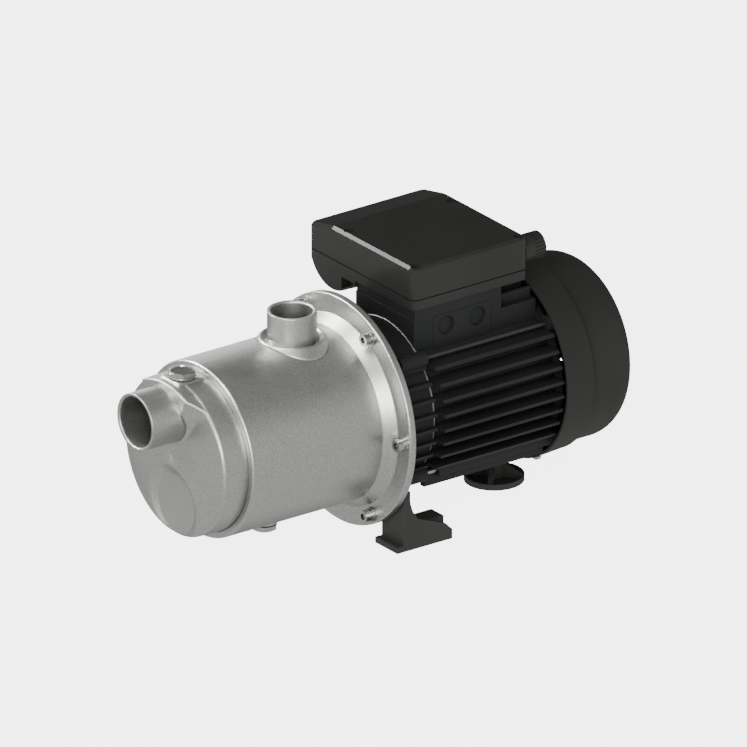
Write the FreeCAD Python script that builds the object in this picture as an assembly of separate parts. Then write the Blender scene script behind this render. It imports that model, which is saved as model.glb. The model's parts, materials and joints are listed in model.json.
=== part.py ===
import FreeCAD, Part
import math
import os

from FreeCAD import Vector

# Horizontal multistage pump with its motor. All sizes are in millimetres.
# The pieces are drawn about the shaft: x runs along it from the front face of the
# casing flange, towards the motor, and y and z are measured from the shaft axis.
# They are then moved so that the origin lies on the base plane, under the shaft,
# on the line through the two bolt holes of the front foot.

# Where the foot bolts are, and how high the casing flange hangs over the base
flange_clearance = 3.8
bolt_setback = 27.0
bolt_half_spacing = 56.0
bolt_hole_radius = 4.5

# Clearances
weld_gap = 0.05
fit_gap = 0.02
thread_gap = 0.08
running_gap = 0.3
air_gap = 0.4
flange_fit = 0.2
screw_clearance = 0.3
same_length = 0.01

# Pump casing, drawn from stainless sheet
sheet = 1.5
barrel_radius = 72.0
barrel_length = 136.0
barrel_corner = 2.2
rim_width = 5.8
flare_rise = 6.5
flare_length = 10.0
flange_width = 15.7
flange_lip = 6.0
flange_corner = 1.4

# Front cover, welded into the front of the barrel
cap_gap = 0.5
cap_length = 23.5
cap_corner = 3.0
cap_dome = 4.5
boss_length = 34.0
boss_top_radius = 20.0
boss_top_flare = 18.8
boss_foot_radius = 34.0
boss_foot_flare = 36.0
boss_foot_depth = 6.0
boss_clip = 0.5
dimple_inset = 24.7
dimple_radius = 24.5
dimple_depth = 2.7
dimple_slope = 36.0

# Ports: the suction pipe along the shaft, the discharge pipe upright
suction_inset = 27.2
suction_bore = 20.95
suction_wall = 2.55
suction_length = 27.5
suction_insert = 7.0
discharge_setback = 45.2
discharge_bore = 16.65
discharge_wall = 2.95
discharge_rise = 23.5
pipe_chamfer = 0.8
saddle_skirt = 34.0
saddle_drop = 9.2
saddle_waist = 27.0
saddle_lip = 24.5
saddle_rise = 1.6
saddle_dish = 2.4
saddle_bulge = 0.4

# Filling plug on the cover and drain plug under the barrel
filling_offset = 16.0
filling_rise = 0.3
filling_pad = 11.7
pad_margin = 1.5
filling_boss_depth = 13.0
filling_thread = 8.33
filling_flats = 20.0
filling_head = 4.8
filling_shank = 14.0
drain_setback = 72.0
drain_boss_radius = 10.5
drain_boss_drop = 5.5
drain_thread = 6.58
drain_flats = 18.0
drain_head = 4.7
gasket_thickness = 1.2
gasket_width = 2.4
pad_thickness = 3.8

# Casing cover behind the stages, and its sealing ring
cover_margin = 1.5
spigot_play = 1.0
cover_depth = 14.0
cover_hub_wall = 4.0
cover_hub_depth = 9.0
cover_bore_play = 1.0
o_ring_section = 2.2

# Stages
stage_count = 3
stage_pitch = 22.0
suction_chamber = 5.5
pressure_gap = 10.5
stage_sheet = 1.5
eye_radius = 17.0
eye_wall = 1.8
suction_plate_thickness = 2.0
suction_plate_rim = 4.3
impeller_inset = 8.0
impeller_setback = 3.0
shroud = 1.2
channel_width = 5.5
vane_count = 6
vane_thickness = 1.6
vane_sweep = -75.0
hub_wall = 2.5
hub_setback = 2.0
diffuser_inset = 4.5
diffuser_gap = 1.5
diffuser_plate = 1.2
hub_play = 0.7
return_vane_count = 8
return_vane_root = 21.0
return_vane_sweep = 55.0
spacer_lip = 8.0
spacer_wall = 2.5
spacer_window_count = 6
spacer_window_width = 30.0
spacer_window_end = 10.0

# Shaft, with its nut, key, sleeve and seal
wet_shaft_radius = 7.0
wet_thread_step = 2.0
wet_thread_length = 10.0
seal_shaft_step = 2.5
bearing_shoulder = 2.0
deflector_step = 3.0
core_shaft_radius = 13.0
rear_shoulder = 3.0
fan_shaft_step = 1.5
shaft_tail = 1.0
nut_flats = 17.0
nut_height = 6.0
nut_washer = 1.6
key_width = 4.0
key_depth = 2.0
key_stand = 1.6
seal_face = 17.0
seal_ring_length = 5.0
seal_ring_wall = 3.5
seal_seat_depth = 3.5
seal_head_length = 18.0
seal_head_wall = 5.0
deflector_setback = 15.0
deflector_width = 12.0
deflector_thickness = 3.0
deflector_hub_length = 7.0
deflector_hub_wall = 4.0

# Bearings: bore, outer radius, width, ball radius
front_bearing_inset = 1.0
front_bearing_width = 14.0
front_bearing_bore = 10.0
front_bearing_radius = 23.5
front_ball_radius = 3.97
rear_bearing_width = 12.0
rear_bearing_bore = 8.5
rear_bearing_radius = 20.0
rear_ball_radius = 3.37
ball_count = 7
ball_play = 0.06
race_shoulder = 0.45
cage_wall = 1.5
cage_rail = 0.9
shield_thickness = 0.8
shield_gap = 0.4
preload_washer = 1.0

# Front bracket
bracket_flange_thickness = 5.0
bracket_step = 4.0
bracket_wall = 4.0
bracket_length = 45.0
bracket_web = 5.0
bracket_web_inset = 7.0
bracket_rib_height = 5.0
bearing_wall = 5.5
bearing_lip = 3.0
bearing_lip_height = 3.5
spigot_length = 4.0
spigot_wall = 4.5

# Motor frame, an extrusion with side fins
frame_length = 118.0
frame_bore = 56.0
frame_wall = 5.0
fin_height = 15.5
fin_thickness = 2.6
fin_top = 43.0
fin_low = 41.0
fin_rows = 8
fin_start = 2.5
block_half_width = 38.3
block_rise = 15.0
channel_wall = 2.0
channel_roof = 1.2
rod_window = 12.0
frame_base_rise = 1.0
rail_thickness = 5.3
bottom_fin_pitch = 12.0
pedestal_offset = 1.0
pedestal_length = 83.5
pedestal_rise = 9.0
top_groove_depth = 10.3
top_groove_count = 5
top_fin_drop = 2.4
panel_offset = 18.0
panel_length = 54.4
panel_stand = 0.8
knockout_radius = 8.0
knockout_drop = 10.5
knockout_offset = 11.5
knockout_pitch = 30.2
knockout_depth = 2.0

# Stator and rotor
core_offset = 23.0
core_length = 64.0
rotor_radius = 35.1
end_ring = 4.0
end_ring_step = 5.1
winding_inset = 2.5
winding_outset = 6.0
winding_reach = 13.0

# Rear end shield and tie rods
shield_plate = 6.0
shield_rise = 5.0
shield_bore_play = 1.0
tie_stand = 9.3
tie_rise = 2.3
tie_gap = 0.5
tie_radius = 2.0
tie_lug_radius = 6.5
tie_lug_length = 25.0
tie_thread = 20.0
tie_flats = 8.0
tie_nut = 4.5
tie_tail = 2.0

# Fan and fan cover
fan_stand = 4.0
fan_hub_wall = 6.0
fan_hub_length = 22.0
fan_disc = 2.5
fan_disc_inset = 18.0
fan_blade_count = 8
fan_blade_thickness = 2.4
fan_blade_length = 26.0
fan_play = 1.5
fan_cover_offset = 1.0
fan_cover_wall = 1.8
skirt_play = 0.8
skirt_taper = 1.4
skirt_length = 26.8
dome_step = 3.2
dome_corner = 20.0
dome_length = 47.2
slot_width = 3.2
outer_slots = 24
outer_slot_start = 38.0
outer_slot_reach = 21.0
inner_slots = 12
inner_slot_start = 14.0
inner_slot_length = 17.0
cover_screw_angles = (-115.0, -65.0, 60.0)
cover_screw_radius = 2.0
cover_screw_head = 3.8
cover_screw_head_height = 2.2
cover_screw_depth = 8.0
cover_lug_width = 11.0
cover_lug_length = 9.0

# Terminal box
box_overhang = 3.0
box_length = 112.0
box_near = -40.0
box_far = 98.3
tray_height = 8.4
lid_height = 27.6
box_wall = 2.5
box_corner = 6.0
lid_chamfer = 2.3
slope_length = 30.8
slope_drop = 6.5
lid_gasket_thickness = 1.0
lid_gasket_inset = 0.8
lid_gasket_width = 1.5
bulge_rise = 12.0
bulge_radius = 30.0
bulge_setback = 1.25
bulge_lean = 26.5
recess_depth = 8.0
recess_reach = 12.1
recess_drop = 3.6
recess_lip = 1.8
wire_hole_length = 40.0
wire_hole_width = 24.0
lid_screw_inset = 6.0
lid_screw_near = 5.5
lid_screw_far = 14.5
lid_screw_radius = 2.0
lid_screw_head = 3.2
lid_screw_head_height = 2.2
lid_boss_radius = 4.2
lid_pocket_depth = 6.0
lid_pocket_radius = 4.1
lid_pocket_wall = 1.4
board_length = 56.0
board_width = 20.0
board_thickness = 5.0
stud_columns = 3
stud_rows = 2
stud_radius = 2.5
stud_height = 9.0
capacitor_radius = 18.0
capacitor_length = 86.0
capacitor_seat = 0.3
tab_length = 5.0
tab_width = 6.3
tab_thickness = 0.8
tab_spacing = 16.0
gland_inset = 14.0
gland_rise = 11.4
gland_radius = 11.0
gland_body_length = 9.0
gland_nut_length = 12.0
gland_shank_radius = 9.0
gland_bore = 4.5
gland_rim = 1.2

# Flange screws
screw_inset = 7.7
screw_count = 6
screw_radius = 3.0
screw_head_radius = 5.0
screw_head_height = 6.0
screw_socket_flats = 5.0
screw_socket_depth = 3.4
washer_radius = 6.0
washer_thickness = 2.4
screw_length = 10.0

# Front foot
foot_half_width = 75.6
foot_toe = 6.6
foot_heel = 40.8
pad_width = 29.3
pad_height = 8.0
lip_height = 5.0
plate_thickness = 6.0
plate_top = 48.0
arch_height = 18.0
gusset_thickness = 3.6
gusset_shoulder = 42.0
gusset_bend_length = 8.0
gusset_bend_height = 24.5
gusset_bulge = 2.2
gusset_end = 6.5
gusset_end_height = 14.5
block_length = 18.8
block_inset = 1.7
block_width = 16.0
block_height = 15.7
foot_screw_y = 46.0
foot_screw_z = 60.0
foot_screw_length = 11.0
foot_screw_head = 5.0

# Rear foot
rear_foot_setback = 12.0
rear_foot_radius = 23.8
rear_foot_rim = 4.9
rear_foot_floor = 3.0
rear_foot_rim_wall = 2.5
rear_foot_stem = 7.0
rear_foot_rib_count = 4
rear_foot_rib = 4.0
rear_foot_rib_top = 20.0
rear_screw_radius = 2.5
rear_screw_well = 5.0
rear_screw_depth = 9.0

# Radii of the pump casing, worked out from the barrel outwards and inwards
flare_radius = barrel_radius + flare_rise
flange_radius = flare_radius + flange_width
screw_circle = flange_radius - screw_inset
cover_radius = screw_circle - screw_radius - cover_margin
cover_spigot = barrel_radius - sheet - spigot_play
cap_radius = barrel_radius - rim_width - cap_gap
cap_rim_radius = barrel_radius - sheet - running_gap
stage_radius = barrel_radius - sheet - pressure_gap
impeller_radius = stage_radius - impeller_inset
diffuser_radius = stage_radius - stage_sheet - diffuser_inset
shaft_height = flange_radius + flange_clearance

# Places along the pump, from the flange's front face
barrel_front = -barrel_length
cap_back = barrel_front + sheet
cap_front = barrel_front - cap_length
boss_front = barrel_front - boss_length
boss_foot = cap_front + boss_foot_depth
suction_end = boss_front + suction_insert
suction_mouth = boss_front - suction_length
filling_x = barrel_front - filling_offset
drain_x = -drain_setback
discharge_x = -discharge_setback
stages_front = cap_back + sheet + suction_chamber
stages_back = stages_front + stage_count * stage_pitch
stack_front = stages_front + hub_setback
stack_back = stages_back + hub_setback

# Heights and radii of the ports and plugs
suction_height = cap_radius - suction_inset
suction_radius = suction_bore + suction_wall
dimple_drop = cap_radius - dimple_inset
discharge_radius = discharge_bore + discharge_wall
discharge_top = barrel_radius + discharge_rise
filling_seat = cap_radius + filling_rise
drain_seat = -barrel_radius - drain_boss_drop

# Radii along the shaft
wet_thread_radius = wet_shaft_radius - wet_thread_step
seal_shaft_radius = wet_shaft_radius + seal_shaft_step
hub_radius = wet_shaft_radius + hub_wall
cover_bore = seal_shaft_radius + cover_bore_play
seal_ring_radius = seal_shaft_radius + seal_ring_wall
seal_head_radius = seal_shaft_radius + seal_head_wall
cover_hub_radius = seal_ring_radius + cover_hub_wall
fan_shaft_radius = rear_bearing_bore - fan_shaft_step
fan_hub_radius = fan_shaft_radius + fan_hub_wall
end_ring_radius = rotor_radius - end_ring_step
shield_bore = rear_bearing_bore + shield_bore_play
deflector_radius = front_bearing_bore + deflector_width
deflector_hub_radius = front_bearing_bore + deflector_hub_wall

# Radii and widths of the motor
winding_inner = rotor_radius + air_gap + winding_inset
winding_outer = frame_bore - winding_outset
frame_radius = frame_bore + frame_wall
bracket_radius = frame_radius + bracket_step
bracket_rib_radius = bracket_radius + bracket_rib_height
fin_tip_radius = frame_radius + fin_height
fin_pitch = (fin_top + fin_low) / (fin_rows - 1)
block_top = frame_radius + block_rise
pedestal_top = block_top + pedestal_rise
frame_bottom = frame_radius + frame_base_rise
shield_radius = frame_radius + shield_rise
tie_circle = frame_radius + tie_stand
tie_z = fin_top + fin_thickness / 2 + tie_rise + tie_radius
tie_y = math.sqrt(tie_circle ** 2 - tie_z ** 2)
rod_channel = tie_radius + tie_gap
rail_outside = tie_y - rod_channel
channel_reach = rod_channel + channel_wall
rail_inside = rail_outside - rail_thickness
skirt_front_radius = tie_circle + tie_lug_radius + skirt_play + fan_cover_wall
skirt_back_radius = skirt_front_radius - skirt_taper
dome_radius = skirt_back_radius - dome_step
fan_radius = tie_circle - tie_flats / math.sqrt(3) - fan_play
fan_disc_radius = fan_radius - fan_disc_inset

# Places along the motor
bracket_flange_back = 2 * sheet + bracket_flange_thickness
front_bearing_end = bracket_length - front_bearing_inset
front_bearing_start = front_bearing_end - front_bearing_width
bracket_web_back = bracket_length - bracket_web_inset
deflector_front = front_bearing_start - deflector_setback
deflector_seat = deflector_front - deflector_step
frame_end = bracket_length + frame_length
rear_bearing_end = frame_end - preload_washer
rear_bearing_start = rear_bearing_end - rear_bearing_width
core_start = bracket_length + core_offset
core_end = core_start + core_length
shield_back = frame_end + shield_plate
fan_start = shield_back + fan_stand
shaft_end = fan_start + fan_hub_length + shaft_tail
fan_cover_start = frame_end + fan_cover_offset
skirt_end = fan_cover_start + skirt_length
fan_cover_end = skirt_end + dome_length
pedestal_start = bracket_length + pedestal_offset
pedestal_end = pedestal_start + pedestal_length
panel_start = pedestal_start + panel_offset
panel_end = panel_start + panel_length
knockout_first = panel_start + knockout_offset
knockout_height = block_top - knockout_drop
rear_foot_x = frame_end - rear_foot_setback

# Places of the terminal box
box_front = pedestal_start - box_overhang
box_back = box_front + box_length
box_seam = pedestal_top + tray_height
box_top = box_seam + lid_height
lid_bottom = box_seam + lid_gasket_thickness / 2
base_top = box_seam - lid_gasket_thickness / 2
slope_start = box_far - slope_length
bulge_y = box_far - bulge_radius
bulge_z = pedestal_top + bulge_rise
gland_y = box_near + gland_inset
gland_z = box_seam + gland_rise

# Places of the front foot
base_plane = -shaft_height
plate_back = bracket_flange_back + plate_thickness
foot_front = bracket_flange_back - foot_toe
foot_back = plate_back + foot_heel
pad_inside = foot_half_width - pad_width
block_front = foot_back - block_length
block_inside = pad_inside + block_inset
block_outside = block_inside + block_width

AXIS_X = Vector(1, 0, 0)
AXIS_Y = Vector(0, 1, 0)
AXIS_Z = Vector(0, 0, 1)
ORIGIN = Vector(0, 0, 0)


def box(x0, x1, y0, y1, z0, z1):
    """A block between two corners."""
    return Part.makeBox(x1 - x0, y1 - y0, z1 - z0, Vector(x0, y0, z0))


def rod(x0, x1, radius, y=0.0, z=0.0):
    """A cylinder along the shaft's direction."""
    return Part.makeCylinder(radius, x1 - x0, Vector(x0, y, z), AXIS_X)


def post(z0, z1, radius, x=0.0, y=0.0):
    """An upright cylinder."""
    return Part.makeCylinder(radius, z1 - z0, Vector(x, y, z0), AXIS_Z)


def tube(x0, x1, outer, inner, y=0.0, z=0.0):
    """A round tube along the shaft's direction."""
    return rod(x0, x1, outer, y, z).cut(rod(x0, x1, inner, y, z))


def turned(points):
    """A solid turned about the shaft from a closed outline of (x, radius) points."""
    corners = [Vector(x, 0, r) for x, r in points]
    outline = Part.makePolygon(corners + corners[:1])
    return Part.Face(outline).revolve(ORIGIN, AXIS_X, 360)


def turned_edges(edges):
    """A solid turned about the shaft from a closed outline of edges."""
    return Part.Face(Part.Wire(Part.__sortEdges__(edges))).revolve(ORIGIN, AXIS_X, 360)


def line(a, b):
    """A straight edge between two (x, radius) points."""
    return Part.LineSegment(Vector(a[0], 0, a[1]), Vector(b[0], 0, b[1])).toShape()


def arc(a, middle, b):
    """A round edge through three (x, radius) points."""
    return Part.Arc(*[Vector(p[0], 0, p[1]) for p in (a, middle, b)]).toShape()


def corner_middle(centre, radius, quarter):
    """The middle point of a quarter round; quarter counts 45 degree directions."""
    angle = math.radians(45 * quarter)
    return (centre[0] + radius * math.cos(angle), centre[1] + radius * math.sin(angle))


def hexagon(centre, flats, along, length):
    """A hexagonal bar from a centre point, along an axis."""
    corner = flats / math.sqrt(3)
    side = AXIS_Y if along == AXIS_X else AXIS_X
    across = along.cross(side)
    points = []
    for k in range(6):
        angle = math.radians(60 * k)
        points.append(centre + side * (corner * math.cos(angle)) + across * (corner * math.sin(angle)))
    face = Part.Face(Part.makePolygon(points + points[:1]))
    return face.extrude(along * length)


def soften(shape, radius, picked):
    """Round the edges of a shape that a test picks."""
    return shape.makeFillet(radius, [edge for edge in shape.Edges if picked(edge)])


def near(a, b):
    """Whether two lengths are the same."""
    return abs(a - b) < same_length


def is_ring(edge, x, radius):
    """Whether an edge is a circle of a radius, square to the shaft, at a place along it."""
    curve = edge.Curve
    return isinstance(curve, Part.Circle) and near(curve.Center.x, x) and near(curve.Radius, radius)


def around(shape, count, first=0.0):
    """Copies of a shape, spaced evenly about the shaft."""
    copies = []
    for k in range(count):
        copy = shape.copy()
        copy.rotate(ORIGIN, AXIS_X, first + 360.0 * k / count)
        copies.append(copy)
    return copies


def four_ties():
    """The places of the four tie rods, as (y, z)."""
    return [(y, z) for y in (-tie_y, tie_y) for z in (-tie_z, tie_z)]


def fin_heights():
    """The heights of the side fins, from the top one down."""
    return [fin_top - fin_pitch * k for k in range(fin_rows)]


# Pump casing and cover

def pump_casing():
    """Barrel, flare and flange in one pressed sheet, with the welded drain boss."""
    slant = math.hypot(flare_length, flare_radius - barrel_radius)
    half_turn = math.tan(math.atan2(flare_radius - barrel_radius, flare_length) / 2)
    barrel_shift = sheet * half_turn
    flange_shift = sheet * slant / flare_length - sheet * (flare_radius - barrel_radius) / flare_length
    body = turned([
        (flange_lip, flange_radius),
        (0, flange_radius),
        (0, flare_radius),
        (-flare_length, barrel_radius),
        (barrel_front, barrel_radius),
        (barrel_front, barrel_radius - rim_width),
        (barrel_front + sheet, barrel_radius - rim_width),
        (barrel_front + sheet, barrel_radius - sheet),
        (-flare_length + barrel_shift, barrel_radius - sheet),
        (sheet, flare_radius - flange_shift),
        (sheet, flange_radius - sheet),
        (flange_lip, flange_radius - sheet),
    ])
    body = soften(body, flange_corner, lambda e: is_ring(e, 0, flange_radius))
    body = soften(body, barrel_corner, lambda e: is_ring(e, barrel_front, barrel_radius))
    body = body.fuse(post(drain_seat, -barrel_radius + sheet, drain_boss_radius, drain_x))
    body = body.cut(post(drain_seat, -barrel_radius + sheet + drain_boss_drop, drain_thread, drain_x))
    body = body.cut(post(0, discharge_top, discharge_bore, discharge_x))
    hole = rod(-sheet, 2 * sheet, screw_radius + screw_clearance, screw_circle)
    return body.cut(around(hole, screw_count))


def boss_outline(x, radius, flare):
    """The boss's outline at one place along the pump: round below, with flaring sides."""
    angle = math.radians(flare)
    centre = Vector(x, 0, suction_height)
    turn = Vector(0, radius * math.cos(angle), -radius * math.sin(angle))
    end = turn + Vector(0, math.sin(angle), math.cos(angle)) * cap_radius
    right = [centre + turn, centre + end]
    left = [Vector(point.x, -point.y, point.z) for point in right]
    edges = [Part.Arc(left[0], centre - AXIS_Z * radius, right[0]),
             Part.LineSegment(right[0], right[1]),
             Part.LineSegment(right[1], left[1]),
             Part.LineSegment(left[1], left[0])]
    return Part.Wire([edge.toShape() for edge in edges])


def suction_boss(inset):
    """The raised boss that carries the suction pipe: a wedge with sloping walls."""
    side = inset / 2
    wedge = Part.makeLoft([boss_outline(boss_front + inset, boss_top_radius - side, boss_top_flare),
                           boss_outline(boss_foot + inset, boss_foot_radius - side, boss_foot_flare)],
                          True, True)
    return wedge.common(rod(boss_front + inset, boss_foot + inset, cap_radius - boss_clip - inset))


def cover_form(inset):
    """The cover's outer form, or the hollow inside it when inset by the sheet."""
    radius = cap_radius - inset
    front = cap_front + inset
    crown = front - cap_dome
    corner = cap_corner
    shoulder = (front + corner, radius)
    edge = (front, radius - corner)
    middle = corner_middle((front + corner, radius - corner), corner, 3)
    half = (radius - corner) / 2
    sphere = (4 * half ** 2 + cap_dome ** 2) / (2 * cap_dome)
    dome_middle = (crown + sphere - math.sqrt(sphere ** 2 - half ** 2), half)
    drum = turned_edges([
        line((cap_back, 0), (cap_back, radius)),
        line((cap_back, radius), shoulder),
        arc(shoulder, middle, edge),
        arc(edge, dome_middle, (crown, 0)),
        line((crown, 0), (cap_back, 0)),
    ])
    deep = dimple_depth + 2 * cap_dome
    spread = deep / math.tan(math.radians(dimple_slope))
    dimple = Part.makeCone(dimple_radius + inset, dimple_radius + inset + spread, deep,
                           Vector(front + dimple_depth, 0, -dimple_drop), -AXIS_X)
    return drum.fuse(suction_boss(inset)).cut(dimple)


def front_cover():
    """Pressed cover with the raised suction boss, the dimple and the filling pad."""
    shell = cover_form(0).cut(cover_form(sheet))
    rim = tube(cap_back, cap_back + sheet, cap_rim_radius, cap_radius - sheet)
    pad = box(filling_x - filling_pad, barrel_front - running_gap, -filling_pad, filling_pad,
              filling_seat - pad_thickness, filling_seat)
    boss = post(filling_seat - filling_boss_depth, filling_seat, filling_pad - pad_margin, filling_x)
    body = shell.fuse([rim, pad, boss])
    body = body.cut(rod(boss_front, suction_end, suction_radius + weld_gap, 0, suction_height))
    return body.cut(post(filling_seat - 2 * filling_boss_depth, filling_seat, filling_thread, filling_x))


def suction_pipe():
    """Threaded suction socket, welded into the boss."""
    pipe = tube(suction_mouth, suction_end, suction_radius, suction_bore, 0, suction_height)
    chamfer = Part.makeCone(suction_bore + pipe_chamfer, suction_bore, pipe_chamfer,
                            Vector(suction_mouth, 0, suction_height), AXIS_X)
    return pipe.cut(chamfer)


def discharge_pipe():
    """Threaded discharge socket, shaped to the barrel."""
    pipe = post(0, discharge_top, discharge_radius, discharge_x)
    pipe = pipe.cut(post(0, discharge_top, discharge_bore, discharge_x))
    pipe = pipe.cut(rod(-barrel_length, 0, barrel_radius + weld_gap))
    chamfer = Part.makeCone(discharge_bore, discharge_bore + pipe_chamfer, pipe_chamfer,
                            Vector(discharge_x, 0, discharge_top - pipe_chamfer), AXIS_Z)
    return pipe.cut(chamfer)


def discharge_saddle():
    """Welded saddle around the foot of the discharge pipe: a skirt with a dished rim."""
    top = barrel_radius + saddle_rise
    bottom = barrel_radius - saddle_drop
    bend = ((saddle_waist + saddle_lip + saddle_bulge) / 2,
            barrel_radius + saddle_rise / 2 + saddle_bulge)

    def spot(place):
        return Vector(discharge_x + place[0], 0, place[1])

    pipe = discharge_radius + weld_gap
    corners = [(saddle_lip, top), (pipe, barrel_radius - saddle_dish), (pipe, bottom),
               (saddle_skirt, bottom), (saddle_waist, barrel_radius)]
    edges = [Part.LineSegment(spot(a), spot(b)).toShape() for a, b in zip(corners, corners[1:])]
    edges.append(Part.Arc(spot(corners[-1]), spot(bend), spot(corners[0])).toShape())
    outline = Part.Face(Part.Wire(edges))
    collar = outline.revolve(Vector(discharge_x, 0, 0), AXIS_Z, 360)
    return collar.cut(rod(-barrel_length, 0, barrel_radius + weld_gap))


def plug(x, seat, way, flats, head, thread, shank):
    """A hexagon plug; way is +1 for one that unscrews upwards and -1 for one downwards."""
    under = seat + way * gasket_thickness
    along = AXIS_Z * way
    top = hexagon(Vector(x, 0, under), flats, along, head)
    chamfer = Part.makeCone(flats / 2 + head, flats / 2, head, Vector(x, 0, under), along)
    stem = Part.makeCylinder(thread - thread_gap, shank + gasket_thickness,
                             Vector(x, 0, under), -along)
    return top.common(chamfer).fuse(stem)


def plug_gasket(x, seat, way, thread):
    """The flat sealing ring under a plug's head."""
    low = min(seat, seat + way * gasket_thickness)
    ring = post(low, low + gasket_thickness, thread + gasket_width, x)
    return ring.cut(post(low, low + gasket_thickness, thread + thread_gap, x))


def casing_cover():
    """Cover behind the stages: clamped rim, spigot inside the barrel and seal pocket."""
    front = -cover_depth
    back_of_seat = -seal_face + seal_ring_length + seal_seat_depth
    return turned([
        (2 * sheet, cover_radius),
        (sheet, cover_radius),
        (sheet, cover_spigot),
        (front, cover_spigot),
        (front, seal_ring_radius + weld_gap),
        (back_of_seat, seal_ring_radius + weld_gap),
        (back_of_seat, cover_bore),
        (front + cover_hub_depth, cover_bore),
        (front + cover_hub_depth, cover_hub_radius),
        (front + sheet, cover_hub_radius),
        (front + sheet, cover_spigot - sheet),
        (2 * sheet, cover_spigot - sheet),
    ])


def casing_o_ring():
    """Rubber ring between the cover's spigot and the flare."""
    centre_x = sheet - o_ring_section - running_gap
    return Part.makeTorus(cover_spigot + o_ring_section + running_gap, o_ring_section,
                          Vector(centre_x, 0, 0), AXIS_X)


# Stages

def stage_front(stage):
    """Where a stage begins; the first is at the suction side."""
    return stages_front + stage_pitch * stage


def vane(inner, outer, lead, sweep, thickness, x0, x1):
    """A curved vane between two radii, turned by sweep degrees from root to tip."""
    def point(share, side):
        radius = inner + (outer - inner) * share
        angle = math.radians(lead + sweep * share) + side * thickness / 2 / radius
        return Vector(x0, radius * math.cos(angle), radius * math.sin(angle))

    flank = Part.Arc(point(0, -1), point(0.5, -1), point(1, -1)).toShape()
    tip = Part.LineSegment(point(1, -1), point(1, 1)).toShape()
    back = Part.Arc(point(1, 1), point(0.5, 1), point(0, 1)).toShape()
    root = Part.LineSegment(point(0, 1), point(0, -1)).toShape()
    return Part.Face(Part.Wire([flank, tip, back, root])).extrude(Vector(x1 - x0, 0, 0))


def suction_plate():
    """Plate between the suction chamber and the pressure side, around the first eye."""
    start = stages_front
    front = start - suction_plate_thickness
    rim_front = cap_back + sheet
    return turned([
        (rim_front, cap_rim_radius),
        (start, cap_rim_radius),
        (start, eye_radius + running_gap),
        (front, eye_radius + running_gap),
        (front, cap_rim_radius - suction_plate_rim),
        (rim_front, cap_rim_radius - suction_plate_rim),
    ])


def stage_casing(stage):
    """Thin cup around one stage, with the running hole for the impeller's eye."""
    start = stage_front(stage)
    end = start + stage_pitch
    return turned([
        (start, eye_radius + running_gap),
        (start, stage_radius),
        (end, stage_radius),
        (end, stage_radius - stage_sheet),
        (start + stage_sheet, stage_radius - stage_sheet),
        (start + stage_sheet, eye_radius + running_gap),
    ])


def diffuser(stage):
    """Disc behind one impeller, with the return vanes that lead to the next eye."""
    start = stage_front(stage) + impeller_setback + 2 * shroud + channel_width + diffuser_gap
    plate_back = start + diffuser_plate
    disc = turned([
        (start, hub_radius + hub_play),
        (start, diffuser_radius),
        (plate_back, diffuser_radius),
        (plate_back, hub_radius + hub_play),
    ])
    blade = vane(return_vane_root, stage_radius - stage_sheet - weld_gap, 0, return_vane_sweep,
                 vane_thickness, start + diffuser_plate / 2, stage_front(stage) + stage_pitch)
    return disc.fuse(around(blade, return_vane_count)).removeSplitter()


def impeller(stage):
    """Closed impeller: eye ring, two shrouds, backward-curved vanes and a keyed hub."""
    start = stage_front(stage)
    front = start + impeller_setback
    channel = front + shroud
    back = channel + channel_width
    hub_front = start + hub_setback
    bore = wet_shaft_radius + fit_gap
    front_shroud = turned([
        (start - running_gap, eye_radius - eye_wall),
        (start - running_gap, eye_radius),
        (front, eye_radius),
        (front, impeller_radius),
        (channel, impeller_radius),
        (channel, eye_radius - eye_wall),
    ])
    back_shroud = turned([
        (hub_front, bore),
        (hub_front, hub_radius),
        (back, hub_radius + shroud),
        (back, impeller_radius),
        (back + shroud, impeller_radius),
        (back + shroud, hub_radius),
        (hub_front + stage_pitch, hub_radius),
        (hub_front + stage_pitch, bore),
    ])
    blade = vane(eye_radius, impeller_radius - shroud, 0, vane_sweep, vane_thickness,
                 channel - shroud / 2, back + shroud / 2)
    wheel = front_shroud.fuse([back_shroud] + around(blade, vane_count)).removeSplitter()
    slot = key_width / 2 + fit_gap
    keyway = box(hub_front, hub_front + stage_pitch, -slot, slot, 0,
                 wet_shaft_radius + key_stand + fit_gap)
    return wheel.cut(keyway)


def stage_spacer():
    """Windowed ring that holds the stages against the casing cover."""
    start = stages_back
    end = -cover_depth
    ring = turned([
        (start, stage_radius - spacer_lip),
        (start, stage_radius),
        (end, stage_radius),
        (end, stage_radius - spacer_wall),
        (start + stage_sheet, stage_radius - spacer_wall),
        (start + stage_sheet, stage_radius - spacer_lip),
    ])
    window = box(start + spacer_window_end, end - spacer_window_end,
                 -spacer_window_width / 2, spacer_window_width / 2, 0, stage_radius + spacer_wall)
    return ring.cut(around(window, spacer_window_count))


# Shaft and what turns with it

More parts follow.
